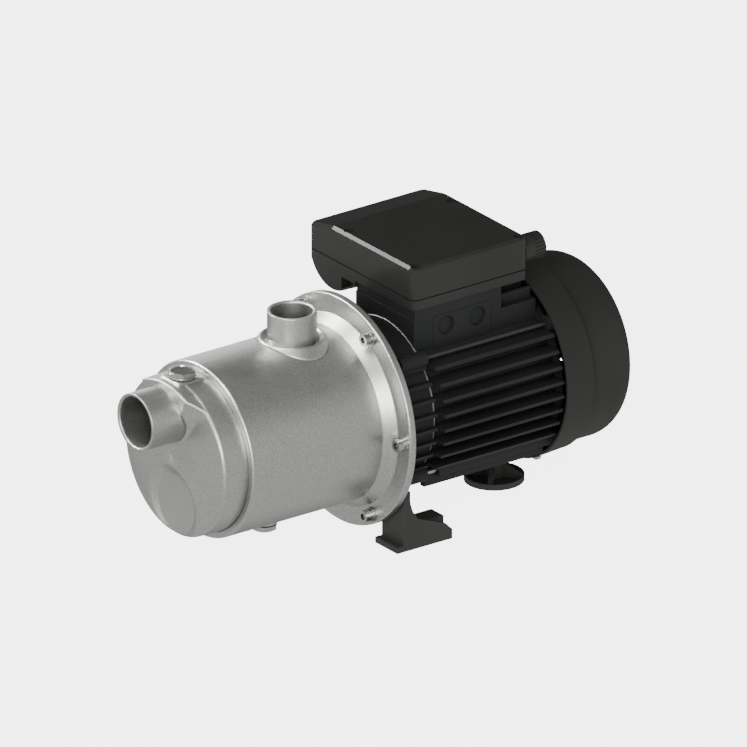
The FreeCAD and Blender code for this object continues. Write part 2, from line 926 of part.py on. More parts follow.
def motor_shaft():
    """One stepped shaft from the front nut to the fan, with the keyway."""
    thread_back = stack_front + fit_gap
    thread_front = thread_back - wet_thread_length
    shaft = turned([
        (thread_front, 0),
        (thread_front, wet_thread_radius),
        (thread_back, wet_thread_radius),
        (thread_back, wet_shaft_radius),
        (-cover_depth, wet_shaft_radius),
        (-cover_depth, seal_shaft_radius),
        (deflector_seat, seal_shaft_radius),
        (deflector_seat, front_bearing_bore),
        (front_bearing_end, front_bearing_bore),
        (front_bearing_end, front_bearing_bore + bearing_shoulder),
        (core_start - end_ring, front_bearing_bore + bearing_shoulder),
        (core_start - end_ring, core_shaft_radius),
        (core_end + end_ring, core_shaft_radius),
        (core_end + end_ring, rear_bearing_bore + rear_shoulder),
        (rear_bearing_start, rear_bearing_bore + rear_shoulder),
        (rear_bearing_start, rear_bearing_bore),
        (rear_bearing_end, rear_bearing_bore),
        (rear_bearing_end, fan_shaft_radius),
        (shaft_end, fan_shaft_radius),
        (shaft_end, 0),
    ])
    return shaft.cut(impeller_key(fit_gap))


def impeller_key(gap=0.0):
    """The long key under the impellers, or with a gap the slot for it."""
    ends = key_width / 2
    return box(stack_front + ends - gap, stack_back - ends + gap, -key_width / 2 - gap,
               key_width / 2 + gap, wet_shaft_radius - key_depth - gap, wet_shaft_radius + key_stand)


def shaft_nut():
    """Nut and washer that clamp the impellers."""
    washer = tube(stack_front - nut_washer, stack_front, hub_radius, wet_thread_radius + fit_gap)
    start = stack_front - nut_washer - nut_height
    nut = hexagon(Vector(start, 0, 0), nut_flats, AXIS_X, nut_height)
    nut = nut.cut(rod(start, start + nut_height, wet_thread_radius + fit_gap))
    return Part.makeCompound([washer, nut])


def shaft_sleeve():
    """Sleeve between the last impeller and the shaft's shoulder, under the seal."""
    return tube(stack_back, -cover_depth, seal_shaft_radius, wet_shaft_radius + fit_gap)


def seal_head():
    """Turning half of the mechanical seal: spring holder and carbon ring."""
    ring_front = -seal_face - seal_ring_length
    inner = seal_shaft_radius + fit_gap
    return turned([
        (ring_front - seal_head_length, inner),
        (ring_front - seal_head_length, seal_head_radius),
        (ring_front, seal_head_radius),
        (ring_front, seal_ring_radius),
        (-seal_face, seal_ring_radius),
        (-seal_face, inner),
    ])


def seal_seat():
    """Still half of the mechanical seal, in the casing cover's pocket."""
    return tube(-seal_face, -seal_face + seal_ring_length + seal_seat_depth, seal_ring_radius,
                seal_shaft_radius + running_gap)


def splash_ring():
    """Rubber ring that throws off drips in front of the bearing."""
    start = deflector_front
    inner = front_bearing_bore + fit_gap
    return turned([
        (start, inner),
        (start, deflector_hub_radius),
        (start + deflector_hub_length - deflector_thickness, deflector_hub_radius),
        (start + deflector_hub_length - deflector_thickness, deflector_radius),
        (start + deflector_hub_length, deflector_radius),
        (start + deflector_hub_length, inner),
    ])


def race_radius(bore, outer):
    """The pitch radius of a bearing's balls."""
    return (bore + outer) / 2


def race_groove(start, width, bore, outer, ball):
    """The ring-shaped space that the balls roll in."""
    return Part.makeTorus(race_radius(bore, outer), ball + ball_play,
                          Vector(start + width / 2, 0, 0), AXIS_X)


def bearing_inner(start, width, bore, outer, ball):
    """Inner ring of a ball bearing."""
    ring = tube(start, start + width, race_radius(bore, outer) - ball * race_shoulder, bore + fit_gap)
    return ring.cut(race_groove(start, width, bore, outer, ball))


def bearing_outer(start, width, bore, outer, ball):
    """Outer ring of a ball bearing, with its two shields."""
    pitch = race_radius(bore, outer)
    ring = tube(start, start + width, outer, pitch + ball * race_shoulder)
    ring = ring.cut(race_groove(start, width, bore, outer, ball))
    reach = pitch - ball * race_shoulder + shield_gap
    front = tube(start, start + shield_thickness, outer - shield_gap, reach)
    back = tube(start + width - shield_thickness, start + width, outer - shield_gap, reach)
    return ring.fuse([front, back]).removeSplitter()


def bearing_balls(start, width, bore, outer, ball):
    """Balls of a bearing in their cage."""
    middle = start + width / 2
    pitch = race_radius(bore, outer)
    half = ball + ball_play + cage_rail
    cage = tube(middle - half, middle + half, pitch + cage_wall / 2, pitch - cage_wall / 2)
    pocket = Part.makeCylinder(ball + ball_play, 2 * cage_wall, Vector(middle, pitch - cage_wall, 0), AXIS_Y)
    cage = cage.cut(around(pocket, ball_count))
    balls = around(Part.makeSphere(ball, Vector(middle, pitch, 0)), ball_count)
    return Part.makeCompound([cage] + balls)


FRONT_BEARING = (front_bearing_start, front_bearing_width, front_bearing_bore,
                 front_bearing_radius, front_ball_radius)
REAR_BEARING = (rear_bearing_start, rear_bearing_width, rear_bearing_bore,
                rear_bearing_radius, rear_ball_radius)


def rotor_core():
    """Rotor pack with its two end rings."""
    bore = core_shaft_radius + fit_gap
    return turned([
        (core_start - end_ring, bore),
        (core_start - end_ring, end_ring_radius),
        (core_start, end_ring_radius),
        (core_start, rotor_radius),
        (core_end, rotor_radius),
        (core_end, end_ring_radius),
        (core_end + end_ring, end_ring_radius),
        (core_end + end_ring, bore),
    ])


def cooling_fan():
    """Radial fan with straight blades, pushed on the shaft's end."""
    start = fan_start
    bore = fan_shaft_radius + fit_gap
    hub = tube(start, start + fan_hub_length, fan_hub_radius, bore)
    disc = tube(start, start + fan_disc, fan_disc_radius, bore)
    half = fan_blade_thickness / 2
    blade = box(start + fan_disc / 2, start + fan_blade_length, fan_hub_radius - half, fan_radius,
                -half, half)
    notch = Part.makeCone(fan_disc_radius - fan_hub_radius, 0, fan_blade_length,
                          Vector(start + fan_blade_length, 0, 0), -AXIS_X)
    blade = blade.cut(notch)
    return hub.fuse([disc] + around(blade, fan_blade_count)).removeSplitter()


# Motor housing

def front_bracket():
    """Bracket between pump and motor: flange, ribbed drum and bearing housing."""
    web_front = bracket_web_back - bracket_web
    housing = front_bearing_radius + fit_gap
    hub = housing + bearing_wall
    lip = front_bearing_radius - bearing_lip_height
    spigot = frame_bore - fit_gap
    body = turned([
        (sheet, cover_radius + flange_fit),
        (sheet, flange_radius - sheet - flange_fit),
        (flange_lip, flange_radius - sheet - flange_fit),
        (bracket_flange_back, screw_circle + screw_radius),
        (bracket_flange_back, bracket_radius),
        (bracket_length, bracket_radius),
        (bracket_length, spigot),
        (bracket_length + spigot_length, spigot),
        (bracket_length + spigot_length, spigot - spigot_wall),
        (bracket_web_back, spigot - spigot_wall),
        (bracket_web_back, hub),
        (front_bearing_end, hub),
        (front_bearing_end, housing),
        (front_bearing_start, housing),
        (front_bearing_start, lip),
        (front_bearing_start - bearing_lip, lip),
        (front_bearing_start - bearing_lip, hub),
        (web_front, hub),
        (web_front, bracket_radius - bracket_wall),
        (2 * sheet, bracket_radius - bracket_wall),
        (2 * sheet, cover_radius + flange_fit),
    ])
    half = fin_thickness / 2
    inner = bracket_radius - bracket_wall / 2
    ribs = []
    for z in fin_heights():
        bar = box(bracket_flange_back - half, bracket_length, -bracket_rib_radius, bracket_rib_radius,
                  z - half, z + half)
        ribs.append(bar.common(tube(0, bracket_length, bracket_rib_radius, inner)))
    lugs = [rod(bracket_length - tie_lug_length, bracket_length, tie_lug_radius, y, z)
            for y, z in four_ties()]
    body = body.fuse(ribs + lugs).removeSplitter()
    body = body.cut([rod(bracket_length - tie_thread, bracket_length, tie_radius + fit_gap, y, z)
                     for y, z in four_ties()])
    hole = rod(0, bracket_flange_back, screw_radius + fit_gap, screw_circle)
    body = body.cut(around(hole, screw_count))
    return body.cut([rod(2 * sheet, bracket_flange_back, screw_radius + fit_gap, y, -foot_screw_z)
                     for y in (-foot_screw_y, foot_screw_y)])


def motor_frame():
    """Finned frame with the terminal-box pedestal on top and two rails below."""
    start = bracket_length
    half = fin_thickness / 2
    body = rod(start, frame_end, frame_radius)
    round_limit = rod(start, frame_end, fin_tip_radius)
    pieces = []
    for z in fin_heights():
        fin = box(start + fin_start, frame_end, -fin_tip_radius, fin_tip_radius, z - half, z + half)
        pieces.append(fin.common(round_limit))
    pieces.append(box(start, frame_end, -block_half_width, block_half_width, 0, block_top))
    channel = box(start + rod_window, frame_end, rail_inside, tie_y + channel_reach,
                  -tie_z - channel_reach, -tie_z + rod_channel + channel_roof)
    pieces.append(channel)
    pieces.append(channel.mirror(ORIGIN, AXIS_Y))
    rail = box(start + fin_start, frame_end, rail_inside, rail_outside, -frame_bottom, 0)
    pieces.append(rail)
    pieces.append(rail.mirror(ORIGIN, AXIS_Y))
    lower_fins = int(rail_inside / bottom_fin_pitch)
    for k in range(-lower_fins, lower_fins + 1):
        y = k * bottom_fin_pitch
        pieces.append(box(start + fin_start, frame_end, y - half, y + half, -frame_bottom, 0))
    pieces.append(box(pedestal_start, pedestal_end, -block_half_width, block_half_width,
                      0, pedestal_top))
    body = body.fuse(pieces)
    body = body.fuse(wiring_panels()).cut(knockouts())
    body = body.cut(rod(start, frame_end, frame_bore))
    grooves = []
    for k in range(top_groove_count):
        y = (k - (top_groove_count - 1) / 2) * bottom_fin_pitch
        grooves.append(box(pedestal_end + half, frame_end, y - bottom_fin_pitch / 2 + half,
                           y + bottom_fin_pitch / 2 - half, block_top - top_groove_depth, block_top))
    top_fins = top_groove_count * bottom_fin_pitch / 2 + half
    shelf = box(pedestal_end, frame_end, top_fins, block_half_width, block_top - top_groove_depth, block_top)
    grooves.append(shelf)
    grooves.append(shelf.mirror(ORIGIN, AXIS_Y))
    grooves.append(box(pedestal_end, frame_end, -block_half_width, block_half_width,
                       block_top - top_fin_drop, block_top))
    body = body.cut(grooves)
    body = body.cut([rod(start, frame_end, rod_channel, y, -tie_z) for y in (-tie_y, tie_y)])
    middle = (pedestal_start + pedestal_end) / 2
    well = box(middle - wire_hole_length / 2, middle + wire_hole_length / 2,
               -wire_hole_width / 2, wire_hole_width / 2, 0, pedestal_top)
    body = body.cut(well)
    screw_hole = post(-frame_bottom, -frame_bottom + rear_screw_depth, rear_screw_radius + fit_gap,
                      rear_foot_x)
    body = body.fuse(post(-frame_bottom, -frame_bore - fit_gap, rear_foot_stem, rear_foot_x))
    return body.cut(screw_hole).removeSplitter()


def wiring_panels():
    """The raised panel on each side of the pedestal."""
    outside = block_half_width + panel_stand
    panel = box(panel_start, panel_end, block_half_width, outside, fin_top, block_top - panel_stand)
    return [panel, panel.mirror(ORIGIN, AXIS_Y)]


def knockouts():
    """Two closed cable knock-outs in each panel, as shallow round pockets."""
    depth = panel_stand + knockout_depth
    pockets = []
    for k in range(2):
        centre = Vector(knockout_first + knockout_pitch * k, block_half_width - knockout_depth,
                        knockout_height)
        pocket = Part.makeCylinder(knockout_radius, depth, centre, AXIS_Y)
        pockets.append(pocket)
        pockets.append(pocket.mirror(ORIGIN, AXIS_Y))
    return pockets


def stator_core():
    """Stator pack, pressed in the frame."""
    return tube(core_start, core_end, frame_bore - fit_gap, rotor_radius + air_gap)


def stator_windings():
    """The two winding heads that stand out of the stator pack."""
    front = tube(core_start - winding_reach, core_start, winding_outer, winding_inner)
    back = tube(core_end, core_end + winding_reach, winding_outer, winding_inner)
    return Part.makeCompound([front, back])


def rear_end_shield():
    """Rear shield with the bearing housing, tie-rod lugs and fan-cover lugs."""
    housing = rear_bearing_radius + fit_gap
    hub = housing + bearing_wall
    spigot = frame_bore - fit_gap
    body = turned([
        (rear_bearing_start, housing),
        (rear_bearing_start, hub),
        (frame_end, hub),
        (frame_end, spigot - spigot_wall),
        (frame_end - spigot_length, spigot - spigot_wall),
        (frame_end - spigot_length, spigot),
        (frame_end, spigot),
        (frame_end, shield_radius),
        (shield_back, shield_radius),
        (shield_back, shield_bore),
        (rear_bearing_end + preload_washer, shield_bore),
        (rear_bearing_end + preload_washer, housing),
    ])
    lugs = [rod(frame_end, shield_back, tie_lug_radius, y, z) for y, z in four_ties()]
    seat = skirt_inner_radius(frame_end + cover_lug_length)
    lug = box(frame_end, frame_end + cover_lug_length, shield_radius - shield_plate, seat,
              -cover_lug_width / 2, cover_lug_width / 2)
    lug = lug.common(rod(frame_end, frame_end + cover_lug_length, seat - fit_gap))
    for angle in cover_screw_angles:
        lugs += around(lug, 1, angle)
    body = body.fuse(lugs).removeSplitter()
    body = body.cut([rod(frame_end, shield_back, tie_radius + fit_gap, y, z) for y, z in four_ties()])
    for angle in cover_screw_angles:
        body = body.cut(around(cover_screw_hole(cover_screw_radius + fit_gap), 1, angle))
    return body


def preload_spring():
    """Spring washer behind the rear bearing."""
    start = rear_bearing_end
    return tube(start, start + preload_washer, rear_bearing_radius - running_gap,
                rear_bearing_radius - bearing_lip_height)


def tie_rods():
    """Four rods from the bracket to the rear shield, each with its nut."""
    rods = []
    for y, z in four_ties():
        stem = rod(bracket_length - tie_thread, shield_back + tie_nut + tie_tail, tie_radius, y, z)
        nut = hexagon(Vector(shield_back, y, z), tie_flats, AXIS_X, tie_nut)
        rods.append(stem.fuse(nut))
    return Part.makeCompound(rods)


# Fan cover

def skirt_inner_radius(x):
    """The inner radius of the fan cover's tapered skirt at a place along it."""
    share = (x - fan_cover_start) / (skirt_end - fan_cover_start)
    outer = skirt_front_radius + (skirt_back_radius - skirt_front_radius) * share
    return outer - fan_cover_wall


def fan_cover():
    """Plastic cover over the fan, with two rings of air slots at the back."""
    wall = fan_cover_wall
    corner_x = fan_cover_end - dome_corner
    corner_r = dome_radius - dome_corner
    outer_arc = arc((corner_x, dome_radius), corner_middle((corner_x, corner_r), dome_corner, 1),
                    (fan_cover_end, corner_r))
    inner_arc = arc((corner_x, dome_radius - wall),
                    corner_middle((corner_x, corner_r), dome_corner - wall, 1),
                    (fan_cover_end - wall, corner_r))
    step = skirt_end - wall
    body = turned_edges([
        line((fan_cover_start, skirt_front_radius), (skirt_end, skirt_back_radius)),
        line((skirt_end, skirt_back_radius), (skirt_end, dome_radius)),
        line((skirt_end, dome_radius), (corner_x, dome_radius)),
        outer_arc,
        line((fan_cover_end, corner_r), (fan_cover_end, 0)),
        line((fan_cover_end, 0), (fan_cover_end - wall, 0)),
        line((fan_cover_end - wall, 0), (fan_cover_end - wall, corner_r)),
        inner_arc,
        line((corner_x, dome_radius - wall), (step, dome_radius - wall)),
        line((step, dome_radius - wall), (step, skirt_inner_radius(step))),
        line((step, skirt_inner_radius(step)), (fan_cover_start, skirt_inner_radius(fan_cover_start))),
        line((fan_cover_start, skirt_inner_radius(fan_cover_start)), (fan_cover_start, skirt_front_radius)),
    ])
    half = slot_width / 2
    outer = box(corner_x + half, fan_cover_end, outer_slot_start,
                outer_slot_start + outer_slot_reach, -half, half)
    inner = box(corner_x, fan_cover_end, inner_slot_start,
                inner_slot_start + inner_slot_length, -half, half)
    body = body.cut(around(outer, outer_slots) + around(inner, inner_slots))
    for angle in cover_screw_angles:
        body = body.cut(around(cover_screw_hole(cover_screw_radius + screw_clearance), 1, angle))
    return body


def cover_screw_x():
    """Where the fan-cover screws are, along the shaft."""
    return (fan_cover_start + frame_end + cover_lug_length) / 2


def cover_screw_hole(radius):
    """A radial hole for a fan-cover screw, in the direction of y."""
    head = skirt_front_radius + cover_screw_head_height
    return Part.makeCylinder(radius, head + cover_screw_depth - skirt_inner_radius(fan_cover_start),
                             Vector(cover_screw_x(), head, 0), -AXIS_Y)


def fan_cover_screws():
    """Round-headed screws through the skirt."""
    seat = skirt_inner_radius(cover_screw_x() - cover_screw_head) + fan_cover_wall
    low = skirt_inner_radius(cover_screw_x()) - cover_screw_depth + screw_clearance
    stem = Part.makeCylinder(cover_screw_radius, seat - low, Vector(cover_screw_x(), low, 0), AXIS_Y)
    head = Part.makeCone(cover_screw_head, cover_screw_head / 2, cover_screw_head_height,
                         Vector(cover_screw_x(), seat, 0), AXIS_Y)
    screw = stem.fuse(head)
    return Part.makeCompound([around(screw, 1, angle)[0] for angle in cover_screw_angles])


# Terminal box

def rounded_block(x0, x1, y0, y1, z0, z1, corner):
    """A block with rounded upright edges."""
    block = box(x0, x1, y0, y1, z0, z1)
    return soften(block, corner, lambda e: abs(e.Vertexes[0].Z - e.Vertexes[1].Z) > (z1 - z0) / 2)


def box_screw_places():
    """The places of the lid's four screws, as (x, y)."""
    return [(x, y) for x in (box_front + lid_screw_inset, box_back - lid_screw_inset)
            for y in (box_near + lid_screw_near, slope_start - lid_screw_far)]


def trough_form(inset, x0, x1):
    """The capacitor trough between two ends: a round bottom with a flat run to the pedestal."""
    radius = bulge_radius - inset
    lean = math.radians(bulge_lean)
    touch_y = bulge_y - radius * math.sin(lean)
    touch_z = bulge_z - radius * math.cos(lean)
    side = block_half_width + running_gap + inset
    side_z = touch_z + (touch_y - side) * math.tan(lean)
    corners = [Vector(x0, touch_y, touch_z), Vector(x0, side, side_z), Vector(x0, side, base_top),
               Vector(x0, bulge_y, base_top)]
    run = Part.Face(Part.makePolygon(corners + corners[:1])).extrude(AXIS_X * (x1 - x0))
    ceiling = box(x0, x1, 0, 2 * box_far, base_top, 2 * base_top)
    return rod(x0, x1, radius, bulge_y, bulge_z).cut(ceiling).fuse(run)


def trough_recess(margin):
    """The recess in the trough's front end beside the pedestal, or with a margin its walls."""
    x0 = box_front + bulge_setback
    form = trough_form(recess_lip - margin, x0, x0 + recess_depth + margin)
    return form.common(box(x0, x0 + recess_depth + margin, 0, bulge_y - recess_reach + margin,
                           0, pedestal_top - recess_drop + margin))


def terminal_box_base():
    """Lower half of the terminal box, with the trough for the capacitor."""
    wall = box_wall
    tray = rounded_block(box_front, box_back, box_near, box_far, pedestal_top, base_top, box_corner)
    outline = rounded_block(box_front, box_back, 0, box_far, bulge_z - bulge_radius, base_top, box_corner)
    trough = trough_form(0, box_front + bulge_setback, box_back - bulge_setback).common(outline)
    hollow = rounded_block(box_front + wall, box_back - wall, box_near + wall, box_far - wall,
                           pedestal_top + wall, base_top, box_corner - wall)
    cavity = trough_form(wall, box_front + bulge_setback + wall, box_back - bulge_setback - wall)
    cavity = cavity.cut(trough_recess(recess_lip))
    body = tray.fuse(trough).cut(hollow).cut(cavity).cut(trough_recess(0))
    bosses = [post(pedestal_top, base_top, lid_boss_radius, x, y) for x, y in box_screw_places()]
    body = body.fuse([boss.common(tray) for boss in bosses])
    middle = (pedestal_start + pedestal_end) / 2
    hole = box(middle - wire_hole_length / 2, middle + wire_hole_length / 2,
               -wire_hole_width / 2, wire_hole_width / 2, 0, base_top)
    body = body.cut(hole)
    return body.cut([post(pedestal_top + wall, base_top, lid_screw_radius + fit_gap, x, y)
                     for x, y in box_screw_places()]).removeSplitter()


def lid_block(inset, top_inset):
    """The lid's outer form, or its hollow when inset, with the sloped far end."""
    top = box_top - top_inset
    block = rounded_block(box_front + inset, box_back - inset, box_near + inset, box_far - inset,
                          lid_bottom, top, box_corner - inset)
    fall = slope_drop / (box_far - slope_start)
    far = box_far + box_corner
    corners = [Vector(box_front - box_corner, slope_start, top),
               Vector(box_front - box_corner, far, top - fall * (far - slope_start)),
               Vector(box_front - box_corner, far, 2 * top),
               Vector(box_front - box_corner, slope_start, 2 * top)]
    wedge = Part.Face(Part.makePolygon(corners + corners[:1]))
    return block.cut(wedge.extrude(AXIS_X * (box_back - box_front + 2 * box_corner)))


def terminal_box_lid():
    """Lid with a flat top, a sloped far end and four recessed screw seats."""
    outer = lid_block(0, 0)
    low = box_top - slope_drop - box_wall
    front = [edge for edge in outer.Edges if edge.BoundBox.ZMin > low
             and near(edge.BoundBox.XMax, box_front)]
    outer = outer.makeChamfer(lid_chamfer, front)
    body = outer.cut(lid_block(box_wall, box_wall))
    floor = box_top - lid_pocket_depth
    bosses = [post(lid_bottom, floor, lid_boss_radius, x, y) for x, y in box_screw_places()]
    bosses += [post(floor - lid_pocket_wall, box_top, lid_pocket_radius + lid_pocket_wall, x, y)
               for x, y in box_screw_places()]
    body = body.fuse([boss.common(outer) for boss in bosses])
    body = body.cut([post(floor, box_top + 1, lid_pocket_radius, x, y) for x, y in box_screw_places()])
    body = body.cut([post(lid_bottom, box_top, lid_screw_radius + screw_clearance, x, y)
                     for x, y in box_screw_places()])
    hole = rod(box_back - 2 * box_wall, box_back + 1, gland_shank_radius + fit_gap, gland_y, gland_z)
    return body.cut(hole).removeSplitter()


def lid_gasket():
    """Flat gasket in the seam of the terminal box."""
    inset = lid_gasket_inset
    inner = inset + lid_gasket_width
    outside = rounded_block(box_front + inset, box_back - inset, box_near + inset, box_far - inset,
                            base_top, lid_bottom, box_corner - inset)
    inside = rounded_block(box_front + inner, box_back - inner, box_near + inner, box_far - inner,
                           base_top, lid_bottom, box_corner - inner)
    return outside.cut(inside)


def lid_screws():
    """Four screws that hold the lid."""
    seat = box_top - lid_pocket_depth
    screws = []
    for x, y in box_screw_places():
        stem = post(pedestal_top + box_wall + screw_clearance, seat, lid_screw_radius, x, y)
        head = post(seat, seat + lid_screw_head_height, lid_screw_head, x, y)
        screws.append(stem.fuse(head))
    return Part.makeCompound(screws)


def terminal_board():
    """Terminal block with six studs, on the floor of the box."""
    middle = (pedestal_start + pedestal_end) / 2
    floor = pedestal_top + box_wall
    x0 = middle + wire_hole_length / 2 - board_length / 2
    y0 = wire_hole_width / 2
    top = floor + board_thickness
    board = box(x0 - board_length / 2, x0 + board_length / 2, y0, y0 + board_width, floor, top)
    studs = []
    for column in range(stud_columns):
        x = x0 + board_length * ((column + 0.5) / stud_columns - 0.5)
        for row in range(stud_rows):
            y = y0 + board_width * (row + 0.5) / stud_rows
            studs.append(post(top, top + stud_height, stud_radius, x, y))
    return board.fuse(studs)


def capacitor():
    """Run capacitor, lying in its trough."""
    z = bulge_z - (bulge_radius - box_wall) + capacitor_radius + capacitor_seat
    middle = (box_front + box_back) / 2
    can = rod(middle - capacitor_length / 2, middle + capacitor_length / 2, capacitor_radius, bulge_y, z)
    end = middle + capacitor_length / 2
    tabs = [box(end, end + tab_length, y - tab_width / 2, y + tab_width / 2,
                z - tab_thickness / 2, z + tab_thickness / 2)
            for y in (bulge_y - tab_spacing / 2, bulge_y + tab_spacing / 2)]
    return can.fuse(tabs)


def gland_body():
    """Cable gland body, screwed into the lid's rear wall."""
    neck_end = box_back + gland_body_length + gland_nut_length / 2
    body = rod(box_back, box_back + gland_body_length, gland_radius, gland_y, gland_z)
    shank = rod(box_back - box_wall, neck_end, gland_shank_radius, gland_y, gland_z)
    hollow = rod(box_back - box_wall, neck_end, gland_bore + 2 * gland_rim, gland_y, gland_z)
    return body.fuse(shank).cut(hollow).removeSplitter()


def gland_nut():
    """Domed cap nut of the cable gland, with the bore that the cable goes through."""
    start = box_back + gland_body_length
    cap = rod(start, start + gland_nut_length, gland_radius, gland_y, gland_z)
    cap = soften(cap, 2 * gland_rim, lambda e: e.BoundBox.XMin > start + gland_nut_length / 2
                 and e.BoundBox.XLength < gland_rim)
    socket = rod(start, start + gland_nut_length / 2 + fit_gap, gland_shank_radius + fit_gap,
                 gland_y, gland_z)
    bore = rod(start, start + gland_nut_length, gland_bore, gland_y, gland_z)
    return cap.cut([socket, bore])


# Fasteners and feet

def flange_screws():
    """Six socket-head screws through the casing flange."""
    seat = -washer_thickness
    head = rod(seat - screw_head_height, seat, screw_head_radius, screw_circle)
    stem = rod(seat, screw_length - washer_thickness, screw_radius, screw_circle)
    socket = hexagon(Vector(seat - screw_head_height, screw_circle, 0), screw_socket_flats,
                     AXIS_X, screw_socket_depth)
    screw = head.fuse(stem).cut(socket)
    return Part.makeCompound(around(screw, screw_count))


def flange_washers():
    """Washers under the flange screws."""
    washer = tube(-washer_thickness, 0, washer_radius, screw_radius + fit_gap, screw_circle)
    return Part.makeCompound(around(washer, screw_count))


def foot_profile(z_top):
    """Outline of a foot's outer gusset, seen from the side, from the plate to the pad."""
    base = base_plane
    pad_top = base + pad_height
    shoulder = base + gusset_shoulder
    knee = Vector(plate_back, 0, shoulder)
    toe = Vector(foot_back, 0, pad_top)
    bend = Vector(plate_back + gusset_bend_length, 0, base + gusset_bend_height)
    middle = (knee + bend) * 0.5 - Vector(gusset_bulge / 2, 0, gusset_bulge / 2)
    drop = Vector(foot_back - gusset_end, 0, base + gusset_end_height)
    edges = [Part.LineSegment(Vector(bracket_flange_back, 0, base), Vector(bracket_flange_back, 0, z_top)),
             Part.LineSegment(Vector(bracket_flange_back, 0, z_top), Vector(plate_back, 0, z_top)),
             Part.LineSegment(Vector(plate_back, 0, z_top), knee),
             Part.Arc(knee, middle, bend),
             Part.LineSegment(bend, drop),
             Part.LineSegment(drop, toe),
             Part.LineSegment(toe, Vector(foot_back, 0, base)),
             Part.LineSegment(Vector(foot_back, 0, base), Vector(bracket_flange_back, 0, base))]
    return Part.Face(Part.Wire([edge.toShape() for edge in edges]))


def front_foot():
    """Moulded foot: two pads with gussets, and the plate that carries the bracket."""
    base = base_plane
    plate = box(bracket_flange_back, plate_back, -foot_half_width, foot_half_width,
                base, -plate_top)
    arch = box(0, plate_back, -pad_inside, pad_inside, base, base + arch_height)
    plate = plate.cut(arch).cut(rod(0, plate_back, bracket_radius + running_gap))
    pieces = []
    gusset = foot_profile(-plate_top).extrude(AXIS_Y * gusset_thickness)
    gusset.translate(AXIS_Y * (foot_half_width - gusset_thickness))
    pad = box(foot_front, foot_back, pad_inside, foot_half_width, base, base + lip_height)
    deck = box(bracket_flange_back, foot_back, pad_inside, foot_half_width, base, base + pad_height)
    block = box(block_front, foot_back, block_inside, block_outside, base, base + block_height)
    for piece in (gusset, pad, deck, block):
        pieces.append(piece)
        pieces.append(piece.mirror(ORIGIN, AXIS_Y))
    body = plate.fuse(pieces).removeSplitter()
    holes = []
    for side in (-1, 1):
        holes.append(post(base, base + pad_height, bolt_hole_radius, bolt_setback, side * bolt_half_spacing))
        holes.append(rod(bracket_flange_back, plate_back, screw_radius + screw_clearance,
                         side * foot_screw_y, -foot_screw_z))
    return body.cut(holes)


def foot_screws():
    """Two screws that hold the front foot to the bracket's flange."""
    seat = plate_back
    screws = []
    for side in (-1, 1):
        stem = rod(seat - foot_screw_length + running_gap, seat, screw_radius,
                   side * foot_screw_y, -foot_screw_z)
        head = hexagon(Vector(seat, side * foot_screw_y, -foot_screw_z),
                       2 * screw_head_radius, AXIS_X, foot_screw_head)
        screws.append(stem.fuse(head))
    return Part.makeCompound(screws)


def rear_foot():
    """Round rear foot: rimmed dish, four tapering ribs and a stem under the frame."""
    base = base_plane
    top = -frame_bottom
    x = rear_foot_x
    dish = post(base, base + rear_foot_rim, rear_foot_radius, x)
    dish = dish.cut(post(base + rear_foot_floor, base + rear_foot_rim,
                         rear_foot_radius - rear_foot_rim_wall, x))
    stem = post(base, top, rear_foot_stem, x)
    half = rear_foot_rib / 2
    reach = rear_foot_radius - rear_foot_rim_wall / 2
    corners = [Vector(x, 0, base + half), Vector(x + reach, 0, base + half),
               Vector(x + reach, 0, base + rear_foot_rim), Vector(x, 0, base + rear_foot_rib_top)]
    rib = Part.Face(Part.makePolygon(corners + corners[:1])).extrude(AXIS_Y * rear_foot_rib)
    rib.translate(AXIS_Y * -half)
    ribs = []
    for k in range(rear_foot_rib_count):
        copy = rib.copy()
        copy.rotate(Vector(x, 0, 0), AXIS_Z, 360.0 * (k + 0.5) / rear_foot_rib_count)
        ribs.append(copy)
    body = dish.fuse([stem] + ribs).removeSplitter()
    return body.cut(post(base + rear_foot_rim, top, rear_screw_radius + screw_clearance, x)).cut(
        post(base, top - rear_screw_depth, rear_screw_well, x))


def rear_foot_screw():
    """Screw up through the rear foot's stem."""
    seat = -frame_bottom - rear_screw_depth
    head = post(seat - rear_screw_radius, seat, rear_screw_well - running_gap, rear_foot_x)
    stem = post(seat, -frame_bottom + rear_screw_depth - running_gap - (frame_radius - frame_bore),
                rear_screw_radius, rear_foot_x)
    return head.fuse(stem)


